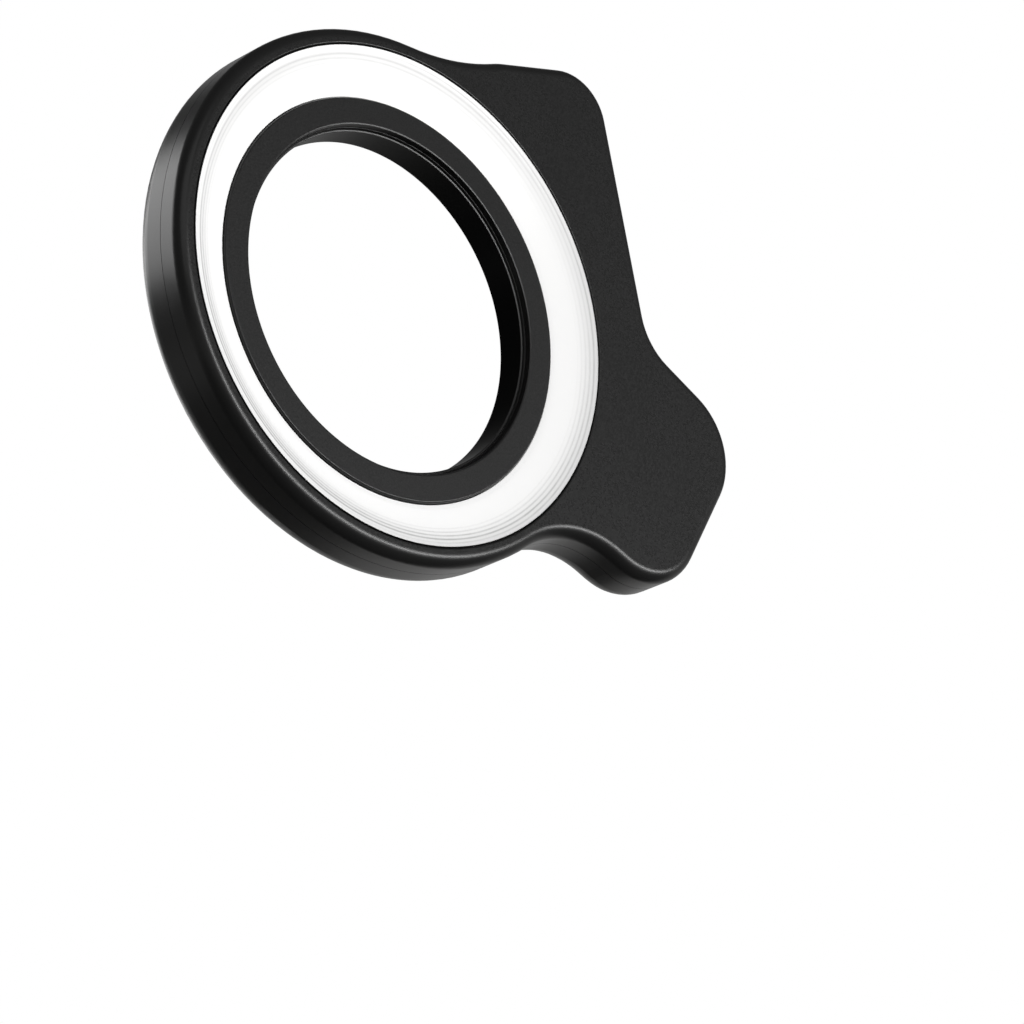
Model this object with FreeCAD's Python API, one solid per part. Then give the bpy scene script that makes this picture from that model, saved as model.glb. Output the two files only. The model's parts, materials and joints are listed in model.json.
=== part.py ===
# Ring light for a macro lens, one solid per physical piece. All sizes are in millimetres.
# X points to the grip, Z points up and Y points backwards, towards the lens.
# The origin is on the optical axis, where the rim of the lens seats on the lens adapter.
# A depth is measured backwards from the flat front of the casing.
import FreeCAD, Part
import math
import os
from collections import namedtuple

Vector = FreeCAD.Vector

# Lens adapter: turns freely in the bezel and screws into a 52 mm filter thread
thread_radius = 26.0
thread_length = 1.8
seat_stand = 0.2
spigot_wall = 2.15
adapter_edge_chamfer = 0.1
collar_width = 0.5
adapter_flange_width = 1.0
adapter_flange_thickness = 1.25
spanner_slot_width = 1.6
spanner_slot_depth = 0.7
spanner_slot_land = 0.6
swivel_clearance = 0.1

# Bezel: the black ring inside the diffuser, with the tube that lines the well for the lens
bezel_face_depth = 2.27
bezel_edge_radius = 0.45
bezel_lip_radius = 24.75
bezel_lip_thickness = 1.03
bezel_skirt_thickness = 0.8
bezel_diffuser_gap = 0.15
ridge_count = 3
ridge_start = 0.15
ridge_pitch = 0.26
ridge_slope = 0.2
ridge_height = 0.22
ridge_drop = 0.18
well_margin = 0.45
well_tube_thickness = 0.8
well_rim_recess = 0.2

# Retaining ring and friction washer that hold the adapter in
retaining_ring_thickness = 0.7
retaining_ring_clearance = 0.2
spanner_notch_width = 2.2
spanner_notch_depth = 0.4
washer_thickness = 0.25
washer_clearance = 0.05

# Diffuser: a shallow cone that sinks from the casing's front to the bezel
diffuser_width = 6.45
diffuser_cone_depth = 2.7
diffuser_foot_height = 1.05
diffuser_foot_clearance = 0.1
diffuser_step_width = 1.6
diffuser_flange_thickness = 0.8
diffuser_gap = 0.15

# Casing
rim_width = 2.55
ledge_height = 0.8
parting_depth = 4.0
parting_gap = 0.08
wall = 1.5
front_edge_radius = 1.7
rear_edge_radius = 3.0
lap_height = 0.9
lap_clearance = 0.06

# Grip outline: its level top edge and upright side edge, placed from the ring's top and right end
grip_top_drop = 2.5
grip_side_reach = 7.6
shoulder_radius = 38.0
shoulder_dip = 0.42
crest_radius = 12.0
top_corner_radius = 7.3

# Lobe of the grip: sharp corners of its straight edges, placed from the ring's edge at the lobe's angle
lobe_angle = -45.0
lobe_tip_offset = (34.2, 7.5)
waist_above_tip = 14.2
waist_radius = 9.0
lobe_tip_radius = 10.4
lobe_foot_offset = (12.8, -16.4)
lobe_foot_radius = 10.2
valley_offset = (-5.1, -2.5)
valley_radius = 15.2

# Ring of lights
led_count = 40
led_length = 3.5
led_width = 2.8
led_height = 0.7
led_lens_radius = 1.1
led_lens_height = 0.12
tray_height = 4.3
board_thickness = 0.8
tray_wall = 0.55
tray_floor = 0.6
tray_window_clearance = 0.15
ring_part_clearance = 0.12
ledge_width = 1.15
ledge_overlap = 0.1

# Main board, its parts and the charging socket
board_wall_clearance = 0.5
board_ring_clearance = 0.8
board_length_x = 18.3
board_end_above_waist = 1.4
socket_below_top = 18.2
socket_width = 8.94
socket_height = 3.2
socket_length = 7.3
socket_shell = 0.3
socket_recess = 0.6
socket_opening_clearance = 0.2
tongue_width = 6.7
tongue_thickness = 0.7
tongue_recess = 1.2
inductor_size = 4.0
inductor_height = 2.0
inductor_chamfer = 0.4
chip_size = 3.0
chip_height = 0.8
chip_gap = 0.8
capacitor_count = 3
capacitor_length = 1.6
capacitor_width = 0.8
capacitor_height = 0.7
capacitor_pitch = 1.8
pillar_radius = 1.0
pillar_gap = 0.4

# Buttons on the back of the grip: one near its top corner, two above the main board's lower end
power_button_inset = (10.9, 10.8)
small_button_inset = 4.9
small_button_pitch = 7.2
dimmer_above_board_end = 5.7
power_button_radius = 3.5
small_button_radius = 2.6
button_flange_width = 0.6
button_flange_thickness = 0.4
button_clearance = 0.12
button_rest_gap = 0.05
button_stand = 0.35
button_travel = 0.35
button_stop_gap = 0.05
button_edge_radius = 0.25
mark_depth = 0.15
mark_width = 0.45
switch_size = 4.0
switch_height = 0.9
plunger_radius = 1.0
plunger_height = 0.25

# Battery lights: a clear light pipe with one pin for each light
battery_light_count = 4
battery_light_pitch = 2.5
battery_light_inset = (9.2, 4.2)
pipe_pin_radius = 0.6
pipe_bar_width = 1.6
pipe_bar_thickness = 0.6
pipe_bar_end = 0.4
pipe_clearance = 0.06
indicator_height = 0.6

# Battery in the lobe of the grip, its long side along the lobe's slanted edge
battery_length = 20.0
battery_width = 15.0
battery_thickness = 5.2
battery_edge_radius = 0.8
battery_wall_gap = 2.6
battery_pad_thickness = 0.5
battery_pad_margin = 1.5

# Case screws, which go in from the back and bite in bosses of the front shell
screw_radius = 0.8
screw_head_radius = 1.5
screw_head_height = 0.8
screw_head_recess = 0.2
screw_length = 6.2
screw_clearance = 0.1
screw_tip_gap = 0.3
boss_radius = 1.9
boss_ring_gap = 0.8
boss_battery_gap = 0.7
boss_board_gap = 0.5
boss_split_gap = 0.05
corner_screw_inset = 5.6
shoulder_screw_inset = 4.2
tip_screw_shift = -1.7
foot_screw_shift = -0.2
cross_slot_length = 1.7
cross_slot_width = 0.35
cross_slot_depth = 0.35

# Leads
battery_lead_radius = 0.5
battery_lead_spacing = 1.6
battery_lead_bend = 1.2
battery_lead_shift = -5.5
battery_lead_start = 2.2
battery_lead_drop = 3.4
led_lead_count = 3
led_lead_radius = 0.35
led_lead_spacing = 1.3
led_lead_bend = 0.8
led_lead_angle = 21.0
led_lead_gap = 0.05
led_lead_reach = 2.0
lead_notch_margin = 0.6
plug_length = 3.2
plug_width = 4.4
plug_height = 1.6
plug_end_gap = 0.4

# Length by which a cutting tool reaches past the piece that it cuts
overcut = 1.0

# Radii, from the thread outwards
adapter_bore_radius = thread_radius - spigot_wall
collar_radius = thread_radius + collar_width
adapter_flange_radius = collar_radius + adapter_flange_width
skirt_radius = adapter_flange_radius + swivel_clearance
retaining_inner_radius = collar_radius + retaining_ring_clearance
bezel_outer_radius = skirt_radius + bezel_skirt_thickness
diffuser_inner_radius = bezel_outer_radius + bezel_diffuser_gap
well_radius = diffuser_inner_radius + well_margin
well_tube_radius = well_radius + well_tube_thickness
diffuser_radius = diffuser_inner_radius + diffuser_width
opening_radius = diffuser_radius + diffuser_gap
ring_radius = opening_radius + rim_width
inner_wall_radius = ring_radius - wall
ring_part_inner = well_tube_radius + ring_part_clearance
ring_part_outer = inner_wall_radius - ring_part_clearance
led_circle_radius = (ring_part_inner + ring_part_outer) / 2
board_ring_radius = inner_wall_radius + board_ring_clearance

# Depths, from the front to the back
bezel_lip_depth = bezel_face_depth + bezel_lip_thickness
adapter_front_depth = bezel_lip_depth + swivel_clearance
adapter_flange_depth = adapter_front_depth + adapter_flange_thickness
washer_depth = adapter_flange_depth + swivel_clearance
retaining_ring_depth = washer_depth + washer_thickness
retaining_ring_end = retaining_ring_depth + retaining_ring_thickness
seat_depth = retaining_ring_end + seat_stand
thread_end_depth = seat_depth + thread_length
diffuser_flange_end = wall + diffuser_flange_thickness
diffuser_foot_depth = diffuser_cone_depth + diffuser_foot_height
front_shell_end = parting_depth - parting_gap
led_board_depth = diffuser_flange_end + tray_height
tray_depth = led_board_depth - tray_floor
led_top_depth = led_board_depth - led_height
led_board_end = led_board_depth + board_thickness
cavity_depth = led_board_end + ledge_height
casing_depth = cavity_depth + wall
battery_depth = wall + battery_pad_thickness

# Depths in the grip, from the back to the front
button_top_depth = casing_depth + button_stand
flange_end_depth = cavity_depth - button_rest_gap
flange_start_depth = flange_end_depth - button_flange_thickness
plunger_end_depth = flange_start_depth - button_travel - button_stop_gap
main_board_end = plunger_end_depth - plunger_height - switch_height
main_board_depth = main_board_end - board_thickness
socket_depth = main_board_depth - socket_height / 2
battery_lead_depth = main_board_depth - plug_height / 2
boss_split_depth = main_board_depth - boss_board_gap
screw_top_depth = casing_depth - screw_head_recess
screw_seat_depth = screw_top_depth - screw_head_height
screw_tip_depth = screw_top_depth - screw_length

Arc = namedtuple("Arc", "x z radius start end side")


def on_lobe(offset):
    """Place measured from the ring's edge at the lobe's angle."""
    angle = math.radians(lobe_angle)
    return ring_radius * math.cos(angle) + offset[0], ring_radius * math.sin(angle) + offset[1]


# Corners of the lobe
lobe_tip = on_lobe(lobe_tip_offset)
lobe_foot = on_lobe(lobe_foot_offset)
valley_corner = on_lobe(valley_offset)

# Places on the grip
grip_top_z = ring_radius - grip_top_drop
grip_side_x = ring_radius + grip_side_reach
waist_z = lobe_tip[1] + waist_above_tip
board_inset = wall + board_wall_clearance
board_left_x = grip_side_x - board_length_x
board_bottom_z = waist_z + board_end_above_waist
socket_z = grip_top_z - socket_below_top
socket_mouth_x = grip_side_x - socket_recess
socket_back_x = socket_mouth_x - socket_length


def y_at(depth):
    """Y of a plane at a depth behind the casing's front."""
    return depth - seat_depth


def disc(x, z, radius, depth_from, depth_to):
    """Round solid along the optical axis between two depths."""
    base = Vector(x, y_at(depth_from), z)
    return Part.makeCylinder(radius, depth_to - depth_from, base, Vector(0, 1, 0))


def tube(inner_radius, outer_radius, depth_from, depth_to):
    """Ring about the optical axis between two depths."""
    outer = disc(0, 0, outer_radius, depth_from, depth_to)
    return outer.cut(disc(0, 0, inner_radius, depth_from - overcut, depth_to + overcut))


def block(x, z, x_size, z_size, depth_from, depth_to):
    """Box centred on a place in the front view, between two depths."""
    corner = Vector(x - x_size / 2, y_at(depth_from), z - z_size / 2)
    return Part.makeBox(x_size, depth_to - depth_from, z_size, corner)


def turned(profile):
    """Solid turned about the optical axis from (radius, depth) points."""
    points = [Vector(radius, y_at(depth), 0) for radius, depth in profile]
    face = Part.Face(Part.makePolygon(points + points[:1]))
    return face.revolve(Vector(0, 0, 0), Vector(0, 1, 0), 360)


def turned_about(shape, x, z, degrees):
    """Copy of a shape, turned in the front view about a place, anticlockwise."""
    copy = shape.copy()
    copy.rotate(Vector(x, 0, z), Vector(0, -1, 0), degrees)
    return copy


def edges_at(shape, depth):
    """Edges that lie flat at a depth."""
    level = y_at(depth)
    return [
        edge for edge in shape.Edges
        if abs(edge.BoundBox.YMin - level) < 1e-4 and abs(edge.BoundBox.YMax - level) < 1e-4
    ]


def unit(x, z):
    """Direction of a vector in the front view."""
    length = math.hypot(x, z)
    return x / length, z / length


def corner_arc(before, corner, after, radius, side):
    """Arc that rounds a corner between two straight edges."""
    ax, az = unit(before[0] - corner[0], before[1] - corner[1])
    bx, bz = unit(after[0] - corner[0], after[1] - corner[1])
    half_angle = math.acos(ax * bx + az * bz) / 2
    mx, mz = unit(ax + bx, az + bz)
    reach = radius / math.sin(half_angle)
    cx, cz = corner[0] + mx * reach, corner[1] + mz * reach
    run = radius / math.tan(half_angle)
    start = math.atan2(corner[1] + az * run - cz, corner[0] + ax * run - cx)
    end = math.atan2(corner[1] + bz * run - cz, corner[0] + bx * run - cx)
    return Arc(cx, cz, radius, start, near_angle(end, start), side)


def near_angle(angle, reference):
    """The same direction, written within half a turn of a reference."""
    return reference + math.remainder(angle - reference, 2 * math.pi)


def casing_arcs():
    """Arcs of the casing's outline, clockwise; straight edges join them."""
    top_corner = (grip_side_x, grip_top_z)
    waist_corner = (grip_side_x, waist_z)
    # The shoulder dips a little below the grip's level top edge, and a crest brings it back up
    shoulder_z = grip_top_z - shoulder_dip + shoulder_radius
    shoulder_x = math.sqrt((ring_radius + shoulder_radius) ** 2 - shoulder_z ** 2)
    ring_end = math.atan2(shoulder_z, shoulder_x)
    crest_z = grip_top_z - crest_radius
    rise = shoulder_z - crest_z
    crest_x = shoulder_x + math.sqrt((shoulder_radius + crest_radius) ** 2 - rise ** 2)
    crest_start = math.atan2(rise, shoulder_x - crest_x)
    shoulder = Arc(shoulder_x, shoulder_z, shoulder_radius, ring_end - math.pi, crest_start - math.pi, -1)
    # The valley runs from the lobe's lower edge back to the ring
    dx, dz = unit(valley_corner[0] - lobe_foot[0], valley_corner[1] - lobe_foot[1])
    nx, nz = -dz, dx
    offset = lobe_foot[0] * nx + lobe_foot[1] * nz + valley_radius
    along = -math.sqrt((ring_radius + valley_radius) ** 2 - offset ** 2)
    valley_x, valley_z = nx * offset + dx * along, nz * offset + dz * along
    ring_start = math.atan2(valley_z, valley_x)
    valley_start = math.atan2(-nz, -nx)
    valley_end = near_angle(ring_start + math.pi, valley_start)
    valley = Arc(valley_x, valley_z, valley_radius, valley_start, valley_end, -1)
    ring = Arc(0, 0, ring_radius, ring_start, ring_end - 2 * math.pi, 1)
    return [
        shoulder,
        Arc(crest_x, crest_z, crest_radius, crest_start, math.pi / 2, 1),
        corner_arc((0, grip_top_z), top_corner, waist_corner, top_corner_radius, 1),
        corner_arc(top_corner, waist_corner, lobe_tip, waist_radius, -1),
        corner_arc(waist_corner, lobe_tip, lobe_foot, lobe_tip_radius, 1),
        corner_arc(lobe_tip, lobe_foot, valley_corner, lobe_foot_radius, 1),
        valley,
        ring,
    ]


def arc_point(arc, angle, inset, y):
    """Point of an outline arc that is moved inwards by an inset."""
    radius = arc.radius - arc.side * inset
    return Vector(arc.x + radius * math.cos(angle), y, arc.z + radius * math.sin(angle))


def casing_block(inset, depth_from, depth_to):
    """Solid with the casing's outline, moved inwards by an inset."""
    y = y_at(depth_from)
    edges = []
    arcs = casing_arcs()
    for arc, following in zip(arcs, arcs[1:] + arcs[:1]):
        start = arc_point(arc, arc.start, inset, y)
        middle = arc_point(arc, (arc.start + arc.end) / 2, inset, y)
        end = arc_point(arc, arc.end, inset, y)
        edges.append(Part.Arc(start, middle, end).toShape())
        next_start = arc_point(following, following.start, inset, y)
        if end.distanceToPoint(next_start) > 1e-6:
            edges.append(Part.LineSegment(end, next_start).toShape())
    face = Part.Face(Part.Wire(edges))
    return face.extrude(Vector(0, depth_to - depth_from, 0))


def socket_prism(width, height, x_from, x_to):
    """Rounded slot along X at the charging socket's place."""
    body = block((x_from + x_to) / 2, socket_z, x_to - x_from, width - height,
                 socket_depth - height / 2, socket_depth + height / 2)
    for side in (-1, 1):
        centre = Vector(x_from, y_at(socket_depth), socket_z + side * (width - height) / 2)
        body = body.fuse(Part.makeCylinder(height / 2, x_to - x_from, centre, Vector(1, 0, 0)))
    return body.removeSplitter()


def lead(points, radius, bend_radius):
    """Round wire along straight runs joined by tangent arcs."""
    edges = []
    run_start = points[0]
    for before, corner, after in zip(points, points[1:], points[2:]):
        back = (before - corner).normalize()
        on = (after - corner).normalize()
        half_angle = back.getAngle(on) / 2
        run = bend_radius / math.tan(half_angle)
        middle = (back + on).normalize()
        arc_middle = corner + middle * (bend_radius / math.sin(half_angle) - bend_radius)
        edges.append(Part.LineSegment(run_start, corner + back * run).toShape())
        edges.append(Part.Arc(corner + back * run, arc_middle, corner + on * run).toShape())
        run_start = corner + on * run
    edges.append(Part.LineSegment(run_start, points[-1]).toShape())
    path = Part.Wire(edges)
    section = Part.Wire(Part.makeCircle(radius, points[0], points[1] - points[0]))
    return path.makePipeShell([section], True, False)


def from_corner(inset):
    """Place on the grip, measured inwards from its side edge and its top edge."""
    return grip_side_x - inset[0], grip_top_z - inset[1]


def in_lobe(along, outwards):
    """Place in the lobe, measured from the battery's centre along and square to its long side."""
    return (battery_x + edge_x * along + out_x * outwards,
            battery_z + edge_z * along + out_z * outwards)


# The battery's place: square to the lobe's slanted edge, halfway along it
edge_x, edge_z = unit(lobe_tip[0] - lobe_foot[0], lobe_tip[1] - lobe_foot[1])
out_x, out_z = edge_z, -edge_x
slant_distance = lobe_tip[0] * out_x + lobe_tip[1] * out_z
battery_out = slant_distance - wall - battery_wall_gap - battery_width / 2
battery_along = ((lobe_tip[0] + lobe_foot[0]) * edge_x + (lobe_tip[1] + lobe_foot[1]) * edge_z) / 2
battery_x = out_x * battery_out + edge_x * battery_along
battery_z = out_z * battery_out + edge_z * battery_along
battery_angle = math.degrees(math.atan2(edge_z, edge_x))

# Places of the case screws, buttons and battery lights
shoulder_screw_z = grip_top_z - shoulder_screw_inset
shoulder_screw_reach = inner_wall_radius + boss_radius + boss_ring_gap
lobe_screw_along = battery_length / 2 + boss_radius + boss_battery_gap
corner_screw = from_corner((corner_screw_inset, corner_screw_inset))
screw_places = [
    (math.sqrt(shoulder_screw_reach ** 2 - shoulder_screw_z ** 2), shoulder_screw_z),
    corner_screw,
    in_lobe(lobe_screw_along, tip_screw_shift),
    in_lobe(-lobe_screw_along, foot_screw_shift),
]
small_button_x = grip_side_x - small_button_inset
dimmer_z = board_bottom_z + dimmer_above_board_end
buttons = {
    "power_button": (from_corner(power_button_inset), power_button_radius),
    "brighter_button": ((small_button_x, dimmer_z + small_button_pitch), small_button_radius),
    "dimmer_button": ((small_button_x, dimmer_z), small_button_radius),
}
last_light_x, battery_light_z = from_corner(battery_light_inset)
battery_light_xs = [last_light_x - i * battery_light_pitch for i in range(battery_light_count)]


def make_front_shell():
    """Front half of the casing: flat face, rounded edge, opening for the diffuser and screw bosses."""
    shell = casing_block(0, 0, front_shell_end)
    shell = shell.makeFillet(front_edge_radius, edges_at(shell, 0))
    shell = shell.cut(casing_block(wall, wall, parting_depth))
    shell = shell.cut(casing_block(wall / 2, front_shell_end - lap_height, parting_depth))
    shell = shell.cut(disc(0, 0, opening_radius, -overcut, wall + overcut))
    chamfer = Part.makeCone(opening_radius + diffuser_gap, opening_radius, diffuser_gap,
                            Vector(0, y_at(0), 0), Vector(0, 1, 0))
    shell = shell.cut(chamfer)
    for x, z in screw_places:
        shell = shell.fuse(disc(x, z, boss_radius, wall, boss_split_depth))
        hole_start = screw_tip_depth - screw_tip_gap
        shell = shell.cut(disc(x, z, screw_radius, hole_start, boss_split_depth + overcut))
    return shell.cut(make_socket_opening())


def make_socket_opening():
    """Slot through the side walls of both shells in front of the charging socket."""
    width = socket_width + 2 * socket_opening_clearance
    height = socket_height + 2 * socket_opening_clearance
    return socket_prism(width, height, socket_mouth_x - overcut, grip_side_x + overcut)


def make_rear_shell():
    """Rear half of the casing: lap tongue, board ledges, screw posts and openings."""
    shell = casing_block(0, parting_depth, casing_depth)
    shell = shell.makeFillet(rear_edge_radius, edges_at(shell, casing_depth))
    shell = shell.cut(casing_block(wall, parting_depth, cavity_depth))
    tongue_start = front_shell_end - lap_height + lap_clearance
    tongue = casing_block(wall / 2 + lap_clearance, tongue_start, parting_depth + wall)
    shell = shell.fuse(tongue.cut(casing_block(wall, tongue_start - overcut, parting_depth + wall + overcut)))
    shell = shell.fuse(tube(well_tube_radius, well_tube_radius + ledge_width, led_board_end, cavity_depth))
    shell = shell.fuse(make_outer_ledge())
    post_end = cavity_depth + wall / 2
    for x, z in screw_places:
        shell = shell.fuse(disc(x, z, boss_radius, boss_split_depth + boss_split_gap, post_end))
    for x, z in pillar_places():
        shell = shell.fuse(disc(x, z, pillar_radius, main_board_end, post_end))
    shell = shell.cut(disc(0, 0, well_tube_radius, parting_depth, casing_depth + overcut))
    shell = shell.cut(make_socket_opening())
    outside = casing_depth + overcut
    holes = []
    for x, z in screw_places:
        holes.append(disc(x, z, screw_radius + screw_clearance, boss_split_depth, outside))
        holes.append(disc(x, z, screw_head_radius + screw_clearance, screw_seat_depth, outside))
    for (x, z), radius in buttons.values():
        holes.append(disc(x, z, radius + button_clearance, cavity_depth - overcut, outside))
    for x in battery_light_xs:
        pin_hole_radius = pipe_pin_radius + pipe_clearance
        holes.append(disc(x, battery_light_z, pin_hole_radius, cavity_depth - overcut, outside))
    for hole in holes:
        shell = shell.cut(hole)
    return shell.removeSplitter()


def make_outer_ledge():
    """Ledge under the ring board's rim, notched where the leads cross it."""
    inner = inner_wall_radius - ledge_width
    outer = inner_wall_radius + ledge_overlap
    ledge = tube(inner, outer, led_board_end, cavity_depth)
    notch_width = led_lead_spacing * (led_lead_count - 1) + 2 * (led_lead_radius + lead_notch_margin)
    notch = block((inner + outer) / 2, 0, ledge_width + overcut, notch_width, led_board_end - overcut,
                  cavity_depth)
    return ledge.cut(turned_about(notch, 0, 0, led_lead_angle))


def pillar_places():
    """Places of the pillars that carry the main board: at its left end, right side and lower end."""
    power_z = buttons["power_button"][0][1]
    dimmer_reach = small_button_radius + button_flange_width + pillar_radius + pillar_gap
    return [
        (board_left_x + pillar_radius + pillar_gap, power_z + power_button_radius),
        (grip_side_x - board_inset - pillar_radius - pillar_gap, power_z - power_button_radius),
        (small_button_x, dimmer_z - dimmer_reach),
    ]


def make_diffuser():
    """White cone ring, with a flange under the casing's rim and a foot on the bezel."""
    return turned([
        (diffuser_radius, 0),
        (diffuser_radius, wall),
        (ring_part_outer, wall),
        (ring_part_outer, diffuser_flange_end),
        (diffuser_radius - diffuser_step_width, diffuser_flange_end),
        (well_tube_radius - diffuser_foot_clearance, diffuser_foot_depth),
        (diffuser_inner_radius, diffuser_foot_depth),
        (diffuser_inner_radius, diffuser_cone_depth),
    ])


def make_bezel():
    """Black ring with a ridged lip, a groove for the adapter and the tube that lines the well."""
    lip = [(bezel_lip_radius, bezel_face_depth)]
    for i in range(ridge_count):
        depth = bezel_face_depth + ridge_start + i * ridge_pitch
        radius = bezel_lip_radius - i * ridge_height
        lip += [(radius, depth), (radius - ridge_drop, depth + ridge_slope)]
    bezel = turned(lip + [
        (lip[-1][0], bezel_lip_depth),
        (skirt_radius, bezel_lip_depth),
        (skirt_radius, retaining_ring_depth),
        (well_radius, retaining_ring_depth),
        (well_radius, casing_depth - well_rim_recess),
        (well_tube_radius, casing_depth - well_rim_recess),
        (well_tube_radius, diffuser_foot_depth),
        (bezel_outer_radius, diffuser_foot_depth),
        (bezel_outer_radius, bezel_face_depth),
    ])
    face_edges = edges_at(bezel, bezel_face_depth)
    outer_edge = max(face_edges, key=lambda edge: edge.Curve.Radius)
    return bezel.makeFillet(bezel_edge_radius, [outer_edge])


def make_adapter():
    """Lens adapter: bore, flange, seat for the lens, spigot at the thread's major radius, two slots."""
    edge_radius = adapter_bore_radius + adapter_edge_chamfer
    adapter = turned([
        (edge_radius, adapter_front_depth),
        (adapter_flange_radius, adapter_front_depth),
        (adapter_flange_radius, adapter_flange_depth),
        (collar_radius, adapter_flange_depth),
        (collar_radius, seat_depth),
        (thread_radius, seat_depth),
        (thread_radius, thread_end_depth),
        (edge_radius, thread_end_depth),
        (adapter_bore_radius, thread_end_depth - adapter_edge_chamfer),
        (adapter_bore_radius, adapter_front_depth + adapter_edge_chamfer),
    ])
    slot_start = adapter_bore_radius + spanner_slot_land
    slot_end = thread_radius + overcut
    slot = block((slot_start + slot_end) / 2, 0, slot_end - slot_start, spanner_slot_width,
                 thread_end_depth - spanner_slot_depth, thread_end_depth + overcut)
    return adapter.cut([slot, turned_about(slot, 0, 0, 180)])


def make_retaining_ring():
    """Ring that screws into the well behind the adapter, with four notches for a spanner."""
    ring = tube(retaining_inner_radius, well_radius, retaining_ring_depth, retaining_ring_end)
    notch_start = (retaining_inner_radius + well_radius) / 2
    notch = block(notch_start + well_radius / 2, 0, well_radius, spanner_notch_width,
                  retaining_ring_end - spanner_notch_depth, retaining_ring_end + overcut)
    return ring.cut([turned_about(notch, 0, 0, angle) for angle in (45, 135, 225, 315)])


def make_washer():
    """Washer that brakes the adapter."""
    return tube(retaining_inner_radius + washer_clearance, adapter_flange_radius, washer_depth,
                retaining_ring_depth)


def around_ring(shape):
    """Copies of a shape, one at each light of the ring."""
    step = 360 / led_count
    return [turned_about(shape, 0, 0, step * (i + 0.5)) for i in range(led_count)]


def make_leds():
    """Lights of the ring, each a body with a low dome."""
    body = block(led_circle_radius, 0, led_width, led_length, led_top_depth, led_board_depth)
    dome = disc(led_circle_radius, 0, led_lens_radius, led_top_depth - led_lens_height, led_top_depth)
    return Part.makeCompound(around_ring(body.fuse(dome)))


def make_reflector_tray():
    """White tray on the ring board, with a window for each light and walls up to the diffuser."""
    tray = tube(ring_part_inner, ring_part_outer, tray_depth, led_board_depth)
    tray = tray.fuse(tube(ring_part_inner, ring_part_inner + tray_wall, diffuser_foot_depth, led_board_depth))
    tray = tray.fuse(tube(ring_part_outer - tray_wall, ring_part_outer, diffuser_flange_end, led_board_depth))
    window = block(led_circle_radius, 0, led_width + 2 * tray_window_clearance,
                   led_length + 2 * tray_window_clearance, tray_depth - overcut, led_board_depth + overcut)
    return tray.cut(around_ring(window))


def make_main_board():
    """Board that follows the casing's wall and the ring, with holes for the screw posts."""
    board = casing_block(board_inset, main_board_depth, main_board_end)
    front = main_board_depth - overcut
    back = main_board_end + overcut
    x_size = grip_side_x - board_left_x
    z_size = grip_top_z - board_bottom_z
    board = board.common(block(board_left_x + x_size / 2, board_bottom_z + z_size / 2, x_size, z_size,
                               front, back))
    board = board.cut(disc(0, 0, board_ring_radius, front, back))
    for x, z in screw_places:
        board = board.cut(disc(x, z, boss_radius + screw_clearance, front, back))
    return board


def make_charge_socket():
    """Steel shell of the charging socket, open at the grip's side."""
    shell = socket_prism(socket_width, socket_height, socket_back_x, socket_mouth_x)
    hollow = socket_prism(socket_width - 2 * socket_shell, socket_height - 2 * socket_shell,
                          socket_back_x + socket_shell, socket_mouth_x + overcut)
    return shell.cut(hollow)


def make_socket_tongue():
    """Contact tongue in the middle of the charging socket."""
    x_from = socket_back_x + socket_shell
    x_to = socket_mouth_x - tongue_recess
    return block((x_from + x_to) / 2, socket_z, x_to - x_from, tongue_width,
                 socket_depth - tongue_thickness / 2, socket_depth + tongue_thickness / 2)


def on_board_front(x, z, x_size, z_size, height):
    """Box that stands on the front of the main board."""
    return block(x, z, x_size, z_size, main_board_depth - height, main_board_depth)


def make_inductor():
    """Coil of the power supply, near the board's left end."""
    x = board_left_x + inductor_size
    coil = on_board_front(x, battery_light_z, inductor_size, inductor_size, inductor_height)
    corners = [edge for edge in coil.Edges if edge.BoundBox.YLength > inductor_height / 2]
    return coil.makeChamfer(inductor_chamfer, corners)


def make_board_chips():
    """Charging chip beside the coil, lamp driver behind the power button and its capacitors."""
    chip_x = board_left_x + 1.5 * inductor_size + chip_gap + chip_size / 2
    chips = [on_board_front(chip_x, battery_light_z, chip_size, chip_size, chip_height)]
    x, z = buttons["power_button"][0]
    chips.append(on_board_front(x, z, chip_size, chip_size, chip_height))
    capacitor_x = x + (chip_size + capacitor_length) / 2 + chip_gap
    for i in range(capacitor_count):
        capacitor_z = z + (i - (capacitor_count - 1) / 2) * capacitor_pitch
        chips.append(on_board_front(capacitor_x, capacitor_z, capacitor_length, capacitor_width,
                                    capacitor_height))
    return Part.makeCompound(chips)


def make_switches():
    """Push switches on the back of the board, one behind each button."""
    switches = []
    for (x, z), radius in buttons.values():
        body = block(x, z, switch_size, switch_size, main_board_end, main_board_end + switch_height)
        switches.append(body.fuse(disc(x, z, plunger_radius, main_board_end, plunger_end_depth)))
    return Part.makeCompound(switches)


def make_button(name):
    """Button with its sunk mark, and a flange that keeps it in the rear shell."""
    (x, z), radius = buttons[name]
    floor = button_top_depth - mark_depth
    above = button_top_depth + overcut
    cap = disc(x, z, radius, flange_start_depth, button_top_depth)
    cap = cap.makeFillet(button_edge_radius, edges_at(cap, button_top_depth))
    cap = cap.fuse(disc(x, z, radius + button_flange_width, flange_start_depth, flange_end_depth))
    if name == "power_button":
        mark_radius = radius / 2
        circle = disc(x, z, mark_radius, floor, above).cut(disc(x, z, mark_radius - mark_width, floor, above))
        gap = block(x, z + mark_radius, 3 * mark_width, mark_radius, floor, above)
        stroke = block(x, z + mark_radius, mark_width, mark_radius, floor, above)
        return cap.cut([circle.cut(gap), stroke])
    marks = [block(x, z, radius, mark_width, floor, above)]
    if name == "brighter_button":
        marks.append(block(x, z, mark_width, radius, floor, above))
    return cap.cut(marks)


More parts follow.
